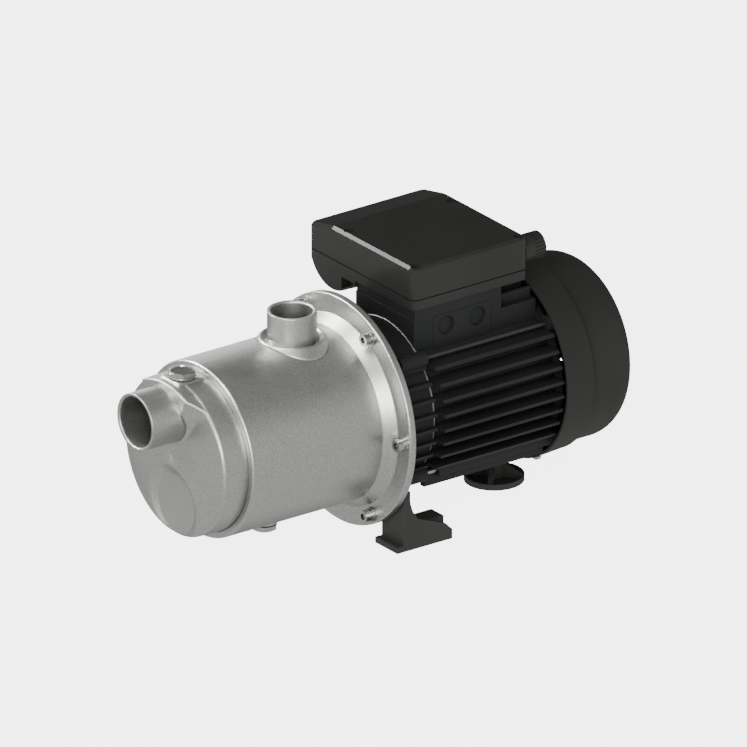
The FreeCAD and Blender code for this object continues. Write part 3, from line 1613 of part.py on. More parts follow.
def all_nodes():
    """Every piece of the pump by its name."""
    nodes = {
        "pump_casing": pump_casing(),
        "front_cover": front_cover(),
        "suction_pipe": suction_pipe(),
        "discharge_pipe": discharge_pipe(),
        "discharge_saddle": discharge_saddle(),
        "filling_plug": plug(filling_x, filling_seat, 1, filling_flats, filling_head,
                             filling_thread, filling_shank),
        "filling_plug_gasket": plug_gasket(filling_x, filling_seat, 1, filling_thread),
        "drain_plug": plug(drain_x, drain_seat, -1, drain_flats, drain_head, drain_thread,
                           drain_boss_drop + sheet),
        "drain_plug_gasket": plug_gasket(drain_x, drain_seat, -1, drain_thread),
        "casing_cover": casing_cover(),
        "casing_o_ring": casing_o_ring(),
        "suction_plate": suction_plate(),
        "stage_spacer": stage_spacer(),
        "motor_shaft": motor_shaft(),
        "impeller_key": impeller_key(),
        "shaft_nut": shaft_nut(),
        "shaft_sleeve": shaft_sleeve(),
        "seal_head": seal_head(),
        "seal_seat": seal_seat(),
        "splash_ring": splash_ring(),
        "front_bearing_inner": bearing_inner(*FRONT_BEARING),
        "front_bearing_outer": bearing_outer(*FRONT_BEARING),
        "front_bearing_balls": bearing_balls(*FRONT_BEARING),
        "rear_bearing_inner": bearing_inner(*REAR_BEARING),
        "rear_bearing_outer": bearing_outer(*REAR_BEARING),
        "rear_bearing_balls": bearing_balls(*REAR_BEARING),
        "rotor_core": rotor_core(),
        "cooling_fan": cooling_fan(),
        "front_bracket": front_bracket(),
        "motor_frame": motor_frame(),
        "stator_core": stator_core(),
        "stator_windings": stator_windings(),
        "rear_end_shield": rear_end_shield(),
        "preload_spring": preload_spring(),
        "tie_rods": tie_rods(),
        "fan_cover": fan_cover(),
        "fan_cover_screws": fan_cover_screws(),
        "terminal_box_base": terminal_box_base(),
        "terminal_box_lid": terminal_box_lid(),
        "lid_gasket": lid_gasket(),
        "lid_screws": lid_screws(),
        "terminal_board": terminal_board(),
        "capacitor": capacitor(),
        "gland_body": gland_body(),
        "gland_nut": gland_nut(),
        "flange_screws": flange_screws(),
        "flange_washers": flange_washers(),
        "front_foot": front_foot(),
        "foot_screws": foot_screws(),
        "rear_foot": rear_foot(),
        "rear_foot_screw": rear_foot_screw(),
    }
    for stage in range(stage_count):
        nodes["stage_casing_%d" % (stage + 1)] = stage_casing(stage)
        nodes["impeller_%d" % (stage + 1)] = impeller(stage)
        nodes["diffuser_%d" % (stage + 1)] = diffuser(stage)
    return nodes


def main():
    """Build every piece, move it to the base frame and write it out."""
    os.makedirs("parts", exist_ok=True)
    to_base = Vector(-bolt_setback, 0, shaft_height)
    for name, shape in all_nodes().items():
        shape = shape.copy()
        shape.translate(to_base)
        closed = all(solid.isValid() and solid.isClosed() for solid in shape.Solids)
        print(name, len(shape.Solids), "closed" if closed else "OPEN", round(shape.Volume, 1))
        shape.exportStep("parts/%s.step" % name)


main()
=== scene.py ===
"""Dresses the horizontal multistage pump: finishes, small fittings, studio stage and camera."""
import json
import math

import bpy
from mathutils import Matrix, Vector

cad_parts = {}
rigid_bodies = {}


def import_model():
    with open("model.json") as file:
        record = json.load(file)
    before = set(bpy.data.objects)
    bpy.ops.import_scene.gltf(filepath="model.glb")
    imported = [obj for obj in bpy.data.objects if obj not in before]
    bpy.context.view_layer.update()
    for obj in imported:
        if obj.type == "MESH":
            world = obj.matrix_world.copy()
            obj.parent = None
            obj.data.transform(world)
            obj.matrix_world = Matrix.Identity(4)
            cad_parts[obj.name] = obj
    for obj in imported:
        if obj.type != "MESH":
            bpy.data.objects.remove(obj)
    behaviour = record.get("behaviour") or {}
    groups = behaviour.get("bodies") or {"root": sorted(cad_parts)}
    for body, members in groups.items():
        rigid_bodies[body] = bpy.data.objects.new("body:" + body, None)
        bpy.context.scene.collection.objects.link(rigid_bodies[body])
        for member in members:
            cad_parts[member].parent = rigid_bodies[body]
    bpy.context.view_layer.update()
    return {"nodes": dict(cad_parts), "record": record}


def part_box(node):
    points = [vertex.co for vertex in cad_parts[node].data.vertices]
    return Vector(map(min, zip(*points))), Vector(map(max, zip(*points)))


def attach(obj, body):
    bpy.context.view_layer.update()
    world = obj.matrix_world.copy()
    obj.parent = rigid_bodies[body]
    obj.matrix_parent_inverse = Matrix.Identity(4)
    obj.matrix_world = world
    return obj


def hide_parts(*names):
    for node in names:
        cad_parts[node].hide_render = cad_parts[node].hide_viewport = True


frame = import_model()

bl_info = {
    "name": "Horizontal Multistage Pump",
    "version": (1, 0, 0),
    "blender": (4, 5, 0),
    "location": "3D View > Sidebar > Pump",
    "description": "Dresses the packed pump with its finishes and small fittings",
    "category": "Object",
}

MM = 0.001

# Noise hardly ever leaves the middle of its range, so patterns are stretched from there.
NOISE_RANGE = {"From Min": 0.3, "From Max": 0.7}
NOISE_ROUGHNESS = 0.6

# A face counts as pointing up when its normal leans less than about 8 degrees.
SQUARE = 0.99

# Edges that bend more than this stay sharp in the shading.
CREASE = math.radians(32)

# The finishes operator fills this, and the operators after it read it.
made_finishes = {}


def middle_of(node):
    """The middle of a node's box."""
    low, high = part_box(node)
    return (low + high) / 2


def in_mm(name, description, default):
    """A length property that a user sets in the scene's unit."""
    return bpy.props.FloatProperty(name=name, description=description, default=default * MM,
                                   min=0.0, unit="LENGTH", precision=5)


def as_linear(code):
    """The linear colour of an sRGB hex value such as 8F8F8C."""
    parts = [int(code[k:k + 2], 16) / 255 for k in (0, 2, 4)]
    return [c / 12.92 if c < 0.04045 else ((c + 0.055) / 1.055) ** 2.4 for c in parts] + [1.0]


def in_colour(name, description, code):
    """A colour property with an sRGB hex default."""
    return bpy.props.FloatVectorProperty(name=name, description=description, subtype="COLOR", size=4,
                                         min=0.0, max=1.0, default=as_linear(code))


class PumpFinishes(bpy.types.PropertyGroup):
    """Colours and grain sizes of the pump's finishes."""

    stainless: in_colour("Stainless", "Bead-blasted stainless sheet of the casing", "ADADAA")
    plated: in_colour("Plated steel", "Bright plated screws and plugs", "A9A9A5")
    paint: in_colour("Motor paint", "Black paint on the motor's castings", "363737")
    plastic: in_colour("Black plastic", "Moulded covers and terminal box", "3D3D3B")
    blast_grain: in_mm("Blast grain", "Size of the dents that the glass beads leave", 1.1)
    sheet_round: in_mm("Sheet rounding", "Radius that the eye reads on a pressed edge", 1.6)
    paint_grain: in_mm("Paint grain", "Size of the orange peel in the paint", 1.2)
    drawn_round: in_mm("Drawn rounding", "Radius of the soft bends on the deep-drawn cover", 3.2)
    plastic_grain: in_mm("Plastic grain", "Size of the spark-eroded texture on the plastic", 0.6)
    edge_round: in_mm("Edge rounding", "Radius that the eye reads on a moulded or cast edge", 0.5)


class PumpFittings(bpy.types.PropertyGroup):
    """Sizes of the small fittings that are modelled here."""

    spigot_radius: in_mm("Spigot radius", "Radius of the joint between bracket and frame", 65.0)
    spigot_edge: in_mm("Spigot edge", "Radius of the bare edge's section", 0.5)
    lid_screw_radius: in_mm("Lid screw radius", "Radius of a lid screw's head", 3.2)
    lid_screw_head: in_mm("Lid screw head", "Height of a lid screw's head", 2.2)


class PumpStage(bpy.types.PropertyGroup):
    """Floor and camera of the studio."""

    floor: in_colour("Floor", "Pale studio floor", "EEEEEE")
    floor_glow: bpy.props.FloatProperty(name="Floor glow", description="Light of the floor panel",
                                        default=5.5, min=0.0)
    floor_size: in_mm("Floor size", "Side of the square floor", 8000)
    turn: bpy.props.FloatProperty(name="Turn", description="Camera's turn from the side view",
                                  default=math.radians(36.385), subtype="ANGLE")
    tilt: bpy.props.FloatProperty(name="Tilt", description="Camera's angle above the floor",
                                  default=math.radians(23.185), subtype="ANGLE")
    view_width: in_mm("View width", "Width that the camera takes in", 583.6)


def connect(tree, node, inputs):
    """Sets a node's inputs, and links those whose value is another node's output."""
    for socket, value in inputs.items():
        if isinstance(value, bpy.types.NodeSocket):
            tree.links.new(value, node.inputs[socket])
        else:
            node.inputs[socket].default_value = value


def add(tree, kind, inputs=None, **settings):
    """Adds a node with its settings and its inputs."""
    node = tree.nodes.new(kind)
    for name, value in settings.items():
        setattr(node, name, value)
    connect(tree, node, inputs or {})
    return node


def new_material(name):
    """A new material with its tree, its shader and the object's own coordinates."""
    material = bpy.data.materials.new(name)
    material.use_nodes = True
    tree = material.node_tree
    tree.nodes.clear()
    shader = add(tree, "ShaderNodeBsdfPrincipled")
    add(tree, "ShaderNodeOutputMaterial", {"Surface": shader.outputs["BSDF"]})
    place = add(tree, "ShaderNodeTexCoord").outputs["Object"]
    return material, tree, shader, place


def shaded(colour, share):
    """A colour made darker or lighter by a share."""
    return [min(1.0, c * share) for c in colour[:3]] + [1.0]


def blotches(tree, place, size, detail, colours, stops=(0.3, 0.7)):
    """A pattern whose blobs have a real size: its height, and a tint between two colours."""
    height = add(tree, "ShaderNodeTexNoise", {"Vector": place, "Scale": 1 / size, "Detail": detail,
                                              "Roughness": NOISE_ROUGHNESS}).outputs["Fac"]
    ramp = add(tree, "ShaderNodeValToRGB", {"Fac": height})
    for stop, position, colour in zip(ramp.color_ramp.elements, stops, colours):
        stop.position = position
        stop.color = colour
    return height, ramp.outputs["Color"]


def blasted_metal(name, colour, grain, roughness, depth, edge):
    """Bead-blasted stainless: soft glints on a dense field of tiny dents, and faint clouds.

    Real dents are a tenth of a millimetre, so they are drawn coarser here to show at all.
    """
    material, tree, shader, place = new_material(name)
    cloud_size = 45 * MM
    dark, light = shaded(colour, 0.72), shaded(colour, 1.2)
    dents, tint = blotches(tree, place, grain, 3.0, (dark, light), (0.30, 0.72))
    clouds = add(tree, "ShaderNodeTexNoise", {"Vector": place, "Scale": 1 / cloud_size, "Detail": 2.0,
                                              "Roughness": NOISE_ROUGHNESS}).outputs["Fac"]
    rough = add(tree, "ShaderNodeMapRange", {"Value": clouds, **NOISE_RANGE,
                                             "To Min": roughness - 0.04,
                                             "To Max": roughness + 0.05}).outputs["Result"]
    rounded = add(tree, "ShaderNodeBevel", {"Radius": edge}, samples=6).outputs["Normal"]
    bump = add(tree, "ShaderNodeBump", {"Height": dents, "Distance": depth, "Strength": 0.7,
                                        "Normal": rounded}).outputs["Normal"]
    connect(tree, shader, {"Base Color": tint, "Metallic": 1.0, "Roughness": rough, "Normal": bump})
    material["bright"] = True
    return material


def machined_metal(name, colour, roughness, stretch=(1.0, 14.0, 14.0)):
    """Turned or drawn steel: fine lines that streak the gloss one way, and painted shade in recesses.

    Real tool marks are finer, so they are drawn coarser here to show at all.
    """
    material, tree, shader, place = new_material(name)
    line_size = 2.5 * MM
    line_depth = 0.02 * MM
    # The colour goes near-black in recesses within this reach: painted shade.
    shade_reach = 3 * MM
    painted_shade = as_linear("1C1C1B")
    stretched = add(tree, "ShaderNodeMapping", {"Vector": place, "Scale": stretch}).outputs["Vector"]
    dark, light = shaded(colour, 0.88), shaded(colour, 1.06)
    lines, tint = blotches(tree, stretched, line_size, 4.0, (dark, light))
    # Occlusion blends the painted shade into the tint where the surface is hidden.
    openness = add(tree, "ShaderNodeAmbientOcclusion", {"Distance": shade_reach}, samples=4)
    open_share = add(tree, "ShaderNodeMapRange", {"Value": openness.outputs["AO"], "From Min": 0.25,
                                             "From Max": 0.75}).outputs["Result"]
    with_painted_shade = add(tree, "ShaderNodeMix", {"Factor": open_share, "A": painted_shade, "B": tint},
                 data_type="RGBA").outputs["Result"]
    rough = add(tree, "ShaderNodeMapRange", {"Value": lines, **NOISE_RANGE,
                                             "To Min": roughness - 0.06,
                                             "To Max": roughness + 0.08}).outputs["Result"]
    bump = add(tree, "ShaderNodeBump", {"Height": lines, "Distance": line_depth,
                                        "Strength": 0.4}).outputs["Normal"]
    connect(tree, shader, {"Base Color": with_painted_shade, "Metallic": 1.0, "Roughness": rough, "Normal": bump})
    material["bright"] = True
    return material


def painted_rods(name, paint, zinc, shaft_height):
    """Tie rods sprayed with the motor above the shaft, zinc plated where the spray missed below."""
    material, tree, shader, place = new_material(name)
    mottle_size = 1.2 * MM
    height = add(tree, "ShaderNodeSeparateXYZ", {"Vector": place}).outputs["Z"]
    sprayed = add(tree, "ShaderNodeMath", {0: height, 1: shaft_height},
                  operation="GREATER_THAN").outputs["Value"]
    mottle, bare = blotches(tree, place, mottle_size, 2.0, (shaded(zinc, 0.85), zinc))
    tint = add(tree, "ShaderNodeMix", {"Factor": sprayed, "A": bare, "B": paint},
               data_type="RGBA").outputs["Result"]
    metal = add(tree, "ShaderNodeMath", {0: 1.0, 1: sprayed}, operation="SUBTRACT").outputs["Value"]
    rough = add(tree, "ShaderNodeMapRange", {"Value": mottle, **NOISE_RANGE, "To Min": 0.32,
                                             "To Max": 0.42}).outputs["Result"]
    connect(tree, shader, {"Base Color": tint, "Metallic": metal, "Roughness": rough})
    return material


def dark_coat(name, colour, grain, roughness, depth, edge=0.0, shine=0.05, matt_top=0.0):
    """Black paint or moulded plastic: a fine skin texture; cast edges are rounded and worn.

    With a matt top the faces that point straight up keep the mould's eroded texture.
    """
    material, tree, shader, place = new_material(name)
    patch_size = 60 * MM
    skin = add(tree, "ShaderNodeTexNoise", {"Vector": place, "Scale": 1 / grain, "Detail": 2.0,
                                            "Roughness": NOISE_ROUGHNESS}).outputs["Fac"]
    dark, light = shaded(colour, 0.92), shaded(colour, 1.08)
    patches, tint = blotches(tree, place, patch_size, 0.0, (dark, light))
    bump = {"Height": skin, "Distance": depth, "Strength": 0.5}
    if edge:
        rounded = add(tree, "ShaderNodeBevel", {"Radius": edge}, samples=4).outputs["Normal"]
        flat = add(tree, "ShaderNodeNewGeometry").outputs["Normal"]
        along = add(tree, "ShaderNodeVectorMath", {0: rounded, 1: flat},
                    operation="DOT_PRODUCT").outputs["Value"]
        worn = add(tree, "ShaderNodeMapRange", {"Value": along, "From Min": 0.995,
                                                "From Max": 0.93}).outputs["Result"]
        tint = add(tree, "ShaderNodeMix", {"Factor": worn, "A": tint, "B": shaded(colour, 1.5)},
                   data_type="RGBA").outputs["Result"]
        bump["Normal"] = rounded
    rough = add(tree, "ShaderNodeMapRange", {"Value": patches, **NOISE_RANGE,
                                             "To Min": roughness - 0.03,
                                             "To Max": roughness + 0.03}).outputs["Result"]
    if matt_top:
        normal = add(tree, "ShaderNodeTexCoord").outputs["Normal"]
        upward = add(tree, "ShaderNodeSeparateXYZ", {"Vector": normal}).outputs["Z"]
        rough = add(tree, "ShaderNodeMapRange", {"Value": upward, "From Min": 0.97, "From Max": 0.99,
                                                 "To Min": rough,
                                                 "To Max": matt_top}).outputs["Result"]
    dimpled = add(tree, "ShaderNodeBump", bump).outputs["Normal"]
    connect(tree, shader, {"Base Color": tint, "Roughness": rough, "Specular IOR Level": shine,
                           "Normal": dimpled})
    return material


def plain_grain(name, colour, grain, roughness, share=0.2):
    """Rubber, fibre, varnish or ceramic: one colour with a fine mottle."""
    material, tree, shader, place = new_material(name)
    grain_depth = 0.03 * MM
    dark, light = shaded(colour, 1 - share), shaded(colour, 1 + share)
    mottle, tint = blotches(tree, place, grain, 3.0, (dark, light))
    rough = add(tree, "ShaderNodeMapRange", {"Value": mottle, **NOISE_RANGE,
                                             "To Min": roughness - 0.05,
                                             "To Max": roughness + 0.05}).outputs["Result"]
    bump = add(tree, "ShaderNodeBump", {"Height": mottle, "Distance": grain_depth,
                                        "Strength": 0.4}).outputs["Normal"]
    connect(tree, shader, {"Base Color": tint, "Roughness": rough, "Specular IOR Level": 0.15,
                           "Normal": bump})
    return material


def opal_panel(colour, glow):
    """Opal acrylic lit from behind: plain and pale, with hardly a shadow."""
    material, tree, shader, place = new_material("opal_acrylic")
    patch_size = 400 * MM
    tint = blotches(tree, place, patch_size, 2.0, (shaded(colour, 0.99), colour))[1]
    connect(tree, shader, {"Base Color": tint, "Roughness": 0.9, "Emission Color": tint,
                           "Emission Strength": glow})
    return material


def make_finishes(looks):
    """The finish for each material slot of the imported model, the front cover and the fittings."""
    stainless, plastic = looks.stainless, looks.plastic
    edge = looks.edge_round
    skin = looks.plastic_grain
    blast_depth = 0.05 * MM
    return {
        # Bead-blasted sheet is a dull silver grey with a fine sparkle.
        "blasted_stainless": blasted_metal("blasted_stainless", stainless, looks.blast_grain,
                                           0.38, blast_depth, looks.sheet_round),
        # Zinc plating keeps the tool's lines and shines more than the sheet.
        "plated_steel": machined_metal("zinc_plated_steel", looks.plated, 0.26),
        # Pressed fibre is a dull grey-brown board.
        "fibre_gasket": plain_grain("pressed_fibre", as_linear("5E5850"), 0.8 * MM, 0.8),
        # Sheet left as rolled has a long, even sheen.
        "pressed_stainless": machined_metal("pressed_stainless", as_linear("B9B9B6"), 0.32),
        # Rubber is nearly black, with no gloss to speak of.
        "black_rubber": plain_grain("nitrile_rubber", as_linear("151515"), 1.0 * MM, 0.7),
        # Lapped carbon is dark grey with a soft sheen.
        "seal_carbon": plain_grain("seal_carbon", as_linear("26262A"), 0.5 * MM, 0.45),
        # Lapped alumina is cream and smooth, and hardly mottled.
        "seal_ceramic": plain_grain("alumina_ceramic", as_linear("D8D2C2"), 0.6 * MM, 0.25, 0.05),
        # Ground shafts and races are the brightest metal.
        "ground_steel": machined_metal("ground_steel", as_linear("C4C4C4"), 0.22),
        # Stacked sheets show their edges as lines across the shaft.
        "lamination_steel": machined_metal("lamination_stack", as_linear("7A7A7C"), 0.45,
                                           (14.0, 1.0, 1.0)),
        # Varnish turns copper brown and glossy.
        "winding_copper": plain_grain("varnished_copper", as_linear("8A4A22"), 1.2 * MM, 0.35, 0.3),
        # Sprayed paint has orange peel, and rubs paler on the castings' edges.
        "black_paint": dark_coat("black_casting_paint", looks.paint, looks.paint_grain, 0.42,
                                 0.04 * MM, edge),
        # The mould's spark-eroded texture keeps covers from shining. It is drawn coarser than life.
        "black_cover_plastic": dark_coat("moulded_cover_plastic", plastic, skin, 0.45, 0.03 * MM),
        # Polypropylene is a little smoother and waxier.
        "fan_plastic": dark_coat("fan_polypropylene", plastic, skin, 0.4, 0.02 * MM),
        # The box comes from a polished mould whose top face alone is eroded.
        "box_plastic": dark_coat("terminal_box_plastic", plastic, skin, 0.2, 0.01 * MM, shine=0.10,
                                 matt_top=0.6),
        # A drawn can is pale, with lines along the draw.
        "capacitor_can": machined_metal("drawn_aluminium", as_linear("CFCFCF"), 0.3),
        # Glass fibres make nylon greyer and duller, with scuffed edges.
        "foot_plastic": dark_coat("glass_filled_nylon", shaded(plastic, 1.3), skin, 0.5, 0.03 * MM,
                                  edge),
        # The same blasted sheet, deep drawn: its bends are wide and soft.
        "drawn_cover": blasted_metal("deep_drawn_stainless", stainless, looks.blast_grain,
                                     0.38, blast_depth, looks.drawn_round),
        # A machined casting edge that the paint didn't reach glints as a thin line.
        "bare_edge": machined_metal("bare_casting_edge", as_linear("8E8E8B"), 0.4),
        # Recess floors are painted near-black as shade, with a rough grain.
        "recess_shade": plain_grain("recess_painted_shade", as_linear("2E2E2C"), 0.9 * MM, 0.6, 0.7),
    }


class PUMP_OT_finishes(bpy.types.Operator):
    """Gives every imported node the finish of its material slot"""

    bl_idname = "pump.finishes"
    bl_label = "Finishes"

    def execute(self, context):
        looks = context.scene.pump_finishes
        made_finishes.update(make_finishes(looks))
        for part in frame["record"]["subparts"]:
            node = frame["nodes"][part["node"]]
            if not node.material_slots:
                node.data.materials.append(None)
            for slot in node.material_slots:
                slot.material = made_finishes[part["material_slot"]]

        # The cover's bends are softer than the barrel's, and the spray only reached half the rods.
        cover, rods = frame["nodes"]["front_cover"], frame["nodes"]["tie_rods"]
        cover.material_slots[0].material = made_finishes["drawn_cover"]
        rods.material_slots[0].material = painted_rods("painted_tie_rods", looks.paint, looks.plated,
                                                       middle_of("motor_shaft").z)
        return {"FINISHED"}


def begin(name, primitive, **settings):
    """Adds a primitive with nothing else selected, and names it."""
    bpy.ops.object.select_all(action="DESELECT")
    primitive(**settings)
    piece = bpy.context.object
    piece.name = name
    return piece


def choose_faces(piece, wanted):
    """Opens the piece in edit mode with only the wanted faces selected."""
    bpy.ops.object.mode_set(mode="EDIT")
    bpy.ops.mesh.select_mode(type="FACE")
    bpy.ops.mesh.select_all(action="DESELECT")
    bpy.ops.object.mode_set(mode="OBJECT")
    for face in piece.data.polygons:
        face.select = wanted(face)
    bpy.ops.object.mode_set(mode="EDIT")


def facing(way):
    """A test for faces that point up where way is 1, and down where way is -1."""
    return lambda face: face.normal.z * way > SQUARE


def take(piece):
    """Makes the piece the only selected one."""
    bpy.ops.object.select_all(action="DESELECT")
    piece.select_set(True)
    bpy.context.view_layer.objects.active = piece


def carve(piece, tool, operation):
    """Cuts or trims the piece with a tool, which then goes."""
    take(piece)
    cut = piece.modifiers.new("cut", "BOOLEAN")
    cut.operation = operation
    cut.object = tool
    cut.solver = "EXACT"
    bpy.ops.object.modifier_apply(modifier=cut.name)
    bpy.data.objects.remove(tool)


def join(pieces):
    """Joins pieces into the first one."""
    take(pieces[0])
    for piece in pieces:
        piece.select_set(True)
    bpy.ops.object.join()


def copied(piece, shift):
    """A copy of the piece with its own mesh, moved by a shift."""
    take(piece)
    bpy.ops.object.duplicate()
    copy = bpy.context.object
    copy.location += Vector(shift)
    return copy


def dress(piece, finish, sunk=None):
    """Gives the piece its finish, and the faces still selected the finish of a sunk floor."""
    bpy.ops.object.mode_set(mode="OBJECT")
    piece.data.materials.clear()
    for name in filter(None, (finish, sunk)):
        piece.data.materials.append(made_finishes[name])
    for face in piece.data.polygons:
        face.material_index = int(bool(sunk) and face.select)


def settle(piece, body, slot, *nodes):
    """Puts the piece's place into its mesh, and lets it ride and stand for its CAD nodes."""
    take(piece)
    bpy.ops.object.transform_apply(location=True, rotation=True, scale=True)
    bpy.ops.object.shade_smooth_by_angle(angle=CREASE)
    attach(piece, body)
    for node in nodes:
        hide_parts(node)


def hexagon_plug(name, node, gasket, way, body):
    """Forged hexagon plug with a turned chamfer, a dished top and a washer face.

    Its head points up where way is 1, and down where way is -1.
    """
    low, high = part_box(node)
    ring_low, ring_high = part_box(gasket)
    middle = (low + high) / 2
    seat, top, tip = (ring_high.z, high.z, low.z) if way > 0 else (ring_low.z, low.z, high.z)
    tall = abs(top - seat)
    flats = min(high.x - low.x, high.y - low.y)
    turned = math.radians(30) if high.x - low.x > high.y - low.y else 0.0
    centre = (middle.x, middle.y, (seat + top) / 2)
    head = begin(name, bpy.ops.mesh.primitive_cylinder_add, vertices=6, radius=flats / math.sqrt(3),
                 depth=tall, location=centre, rotation=(0, 0, turned))

    # The chamfer is a cone a little taller than the head, so no two faces share a plane.
    ring = 0.475 * flats
    slope = 1.7
    over = 0.5 * MM
    cone = begin("chamfer_tool", bpy.ops.mesh.primitive_cone_add, vertices=48,
                 radius1=ring + slope * (tall + over), radius2=ring - slope * over,
                 depth=tall + 2 * over, location=centre, rotation=(0 if way > 0 else math.pi, 0, 0))
    carve(head, cone, "INTERSECT")
    choose_faces(head, lambda face: True)
    bpy.ops.mesh.remove_doubles(threshold=0.01 * MM)

    # The dish in its top has a rough floor, painted dark as shade.
    rim, dish_wall, dish_depth = 0.9 * MM, 0.5 * MM, 1.1 * MM
    choose_faces(head, facing(way))
    bpy.ops.mesh.inset(thickness=rim)
    bpy.ops.mesh.inset(thickness=dish_wall, depth=-dish_depth)
    dress(head, "plated_steel", "recess_shade")

    # The washer face bears on the gasket, and the stem stands for the thread.
    washer_radius, washer_tall, washer_round = 0.56 * flats, 0.8 * MM, 0.25 * MM
    washer = begin("washer_face", bpy.ops.mesh.primitive_cylinder_add, vertices=64,
                   radius=washer_radius, depth=washer_tall,
                   location=(middle.x, middle.y, seat + way * washer_tall / 2))
    choose_faces(washer, facing(way))
    bpy.ops.mesh.bevel(offset=washer_round, segments=2)
    dress(washer, "plated_steel")

    stem_radius, lead_in, lead_tall = 0.36 * flats, 1.0 * MM, 0.8 * MM
    stem = begin("stem", bpy.ops.mesh.primitive_cylinder_add, vertices=48, radius=stem_radius,
                 depth=abs(seat - tip), location=(middle.x, middle.y, (seat + tip) / 2))
    choose_faces(stem, facing(-way))
    bpy.ops.mesh.inset(thickness=lead_in, depth=lead_tall)
    dress(stem, "plated_steel")
    join([head, washer, stem])
    settle(head, body, "plated_steel", node)


class PUMP_OT_plugs(bpy.types.Operator):
    """Forges the filling plug and the drain plug"""

    bl_idname = "pump.plugs"
    bl_label = "Plugs"

    def execute(self, context):
        hexagon_plug("filling_plug_forged", "filling_plug", "filling_plug_gasket", 1, "filling_plug")
        hexagon_plug("drain_plug_forged", "drain_plug", "drain_plug_gasket", -1, "drain_plug")
        return {"FINISHED"}


def cross_screw(name, place, radius, tall, long):
    """Pan-head screw with a cross recess, whose head has its top at the place."""
    crown = 0.35 * tall
    arm_long, arm_wide, arm_tall = 1.3 * radius, 0.34 * radius, tall
    arm_turn = math.pi / 5
    head = begin(name, bpy.ops.mesh.primitive_cylinder_add, vertices=32, radius=radius, depth=tall,
                 location=(place.x, place.y, place.z - tall / 2))
    choose_faces(head, facing(1))
    bpy.ops.mesh.bevel(offset=crown, segments=4)
    bpy.ops.object.mode_set(mode="OBJECT")
    for turned in (0.0, math.pi / 2):
        arm = begin("recess_tool", bpy.ops.mesh.primitive_cube_add, size=1, location=place,
                    rotation=(0, 0, turned + arm_turn))
        arm.scale = (arm_long, arm_wide, arm_tall)
        bpy.context.view_layer.update()
        carve(head, arm, "DIFFERENCE")
    # The floors of the cross recess are painted dark as shade.
    choose_faces(head, lambda face: face.normal.z > SQUARE and face.center.z < 0.2 * tall)
    dress(head, "plated_steel", "recess_shade")
    shank = begin("shank", bpy.ops.mesh.primitive_cylinder_add, vertices=16, radius=0.5 * radius,
                  depth=long, location=(place.x, place.y, place.z - tall - long / 2))
    dress(shank, "plated_steel")
    join([head, shank])
    return head


class PUMP_OT_lid_screws(bpy.types.Operator):
    """Sets four cross-recess screws into the pockets of the terminal-box lid"""

    bl_idname = "pump.lid_screws"
    bl_label = "Lid screws"

    def execute(self, context):
        low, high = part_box("lid_screws")
        fittings = context.scene.pump_fittings
        radius, tall = fittings.lid_screw_radius, fittings.lid_screw_head
        corner = Vector((low.x + radius, low.y + radius, high.z))
        screw = cross_screw("lid_screws_cross", corner, radius, tall, high.z - low.z - tall)
        far_x = high.x - low.x - 2 * radius
        far_y = high.y - low.y - 2 * radius
        copies = [copied(screw, shift)
                  for shift in ((0, far_y, 0), (far_x, 0, 0), (far_x, far_y, 0))]
        join([screw] + copies)
        settle(screw, "housing", "plated_steel", "lid_screws")
        return {"FINISHED"}


class PUMP_OT_gland(bpy.types.Operator):
    """Moulds the fluted cap nut of the cable gland with its rubber seal"""

    bl_idname = "pump.gland"
    bl_label = "Cable gland"

    def execute(self, context):
        low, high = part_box("gland_nut")
        long = high.x - low.x
        flutes, sides_each = 24, 3
        flute_edge, flute_depth = 0.15 * MM, 0.7 * MM
        nut = begin("gland_nut_fluted", bpy.ops.mesh.primitive_cylinder_add,
                    vertices=flutes * sides_each, radius=(high.z - low.z) / 2, depth=long,
                    location=middle_of("gland_nut"), rotation=(0, math.pi / 2, 0))

        # The first side of each three is sunk, and leaves two that stand as a rib.
        choose_faces(nut, lambda face: abs(face.normal.z) < 0.1 and face.index % sides_each == 0)
        bpy.ops.mesh.inset(thickness=flute_edge, depth=-flute_depth, use_individual=True)

        # The end steps up twice to its lip, drops to the seal, and the cable's bore goes in.
        end_steps = ((1.6, 1.0), (1.8, 0.4), (0.3, -1.2), (3.0, -0.3), (0.2, -5.0))
        choose_faces(nut, facing(1))
        for inwards, outwards in end_steps:
            bpy.ops.mesh.inset(thickness=inwards * MM, depth=outwards * MM)
        dress(nut, "box_plastic", "black_rubber")

        # The lip stands proud of the primitive, so the nut is pressed back to the node's length.
        lip = MM * sum(outwards for inwards, outwards in end_steps if outwards > 0)
        nut.scale = (1.0, 1.0, long / (long + lip))
        nut.location.x -= lip / 2
        settle(nut, "housing", "box_plastic", "gland_nut")
        return {"FINISHED"}


class PUMP_OT_joint_edge(bpy.types.Operator):
    """Draws the bare edge of the spigot between bracket and motor frame"""

    bl_idname = "pump.joint_edge"
    bl_label = "Joint edge"

    def execute(self, context):
        shaft = middle_of("motor_shaft")
        fittings = context.scene.pump_fittings
        ring = begin("spigot_edge", bpy.ops.mesh.primitive_torus_add,
                     major_radius=fittings.spigot_radius, minor_radius=fittings.spigot_edge,
                     major_segments=160, minor_segments=8,
                     location=(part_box("motor_frame")[0].x, shaft.y, shaft.z),
                     rotation=(0, math.pi / 2, 0))

        # The edge is wider along the shaft than it stands proud.
        wide_share = 1.5
        choose_faces(ring, lambda face: True)
        bpy.ops.transform.resize(value=(wide_share, 1.0, 1.0))
        dress(ring, "bare_edge")
        settle(ring, "housing", "black_paint")
        return {"FINISHED"}


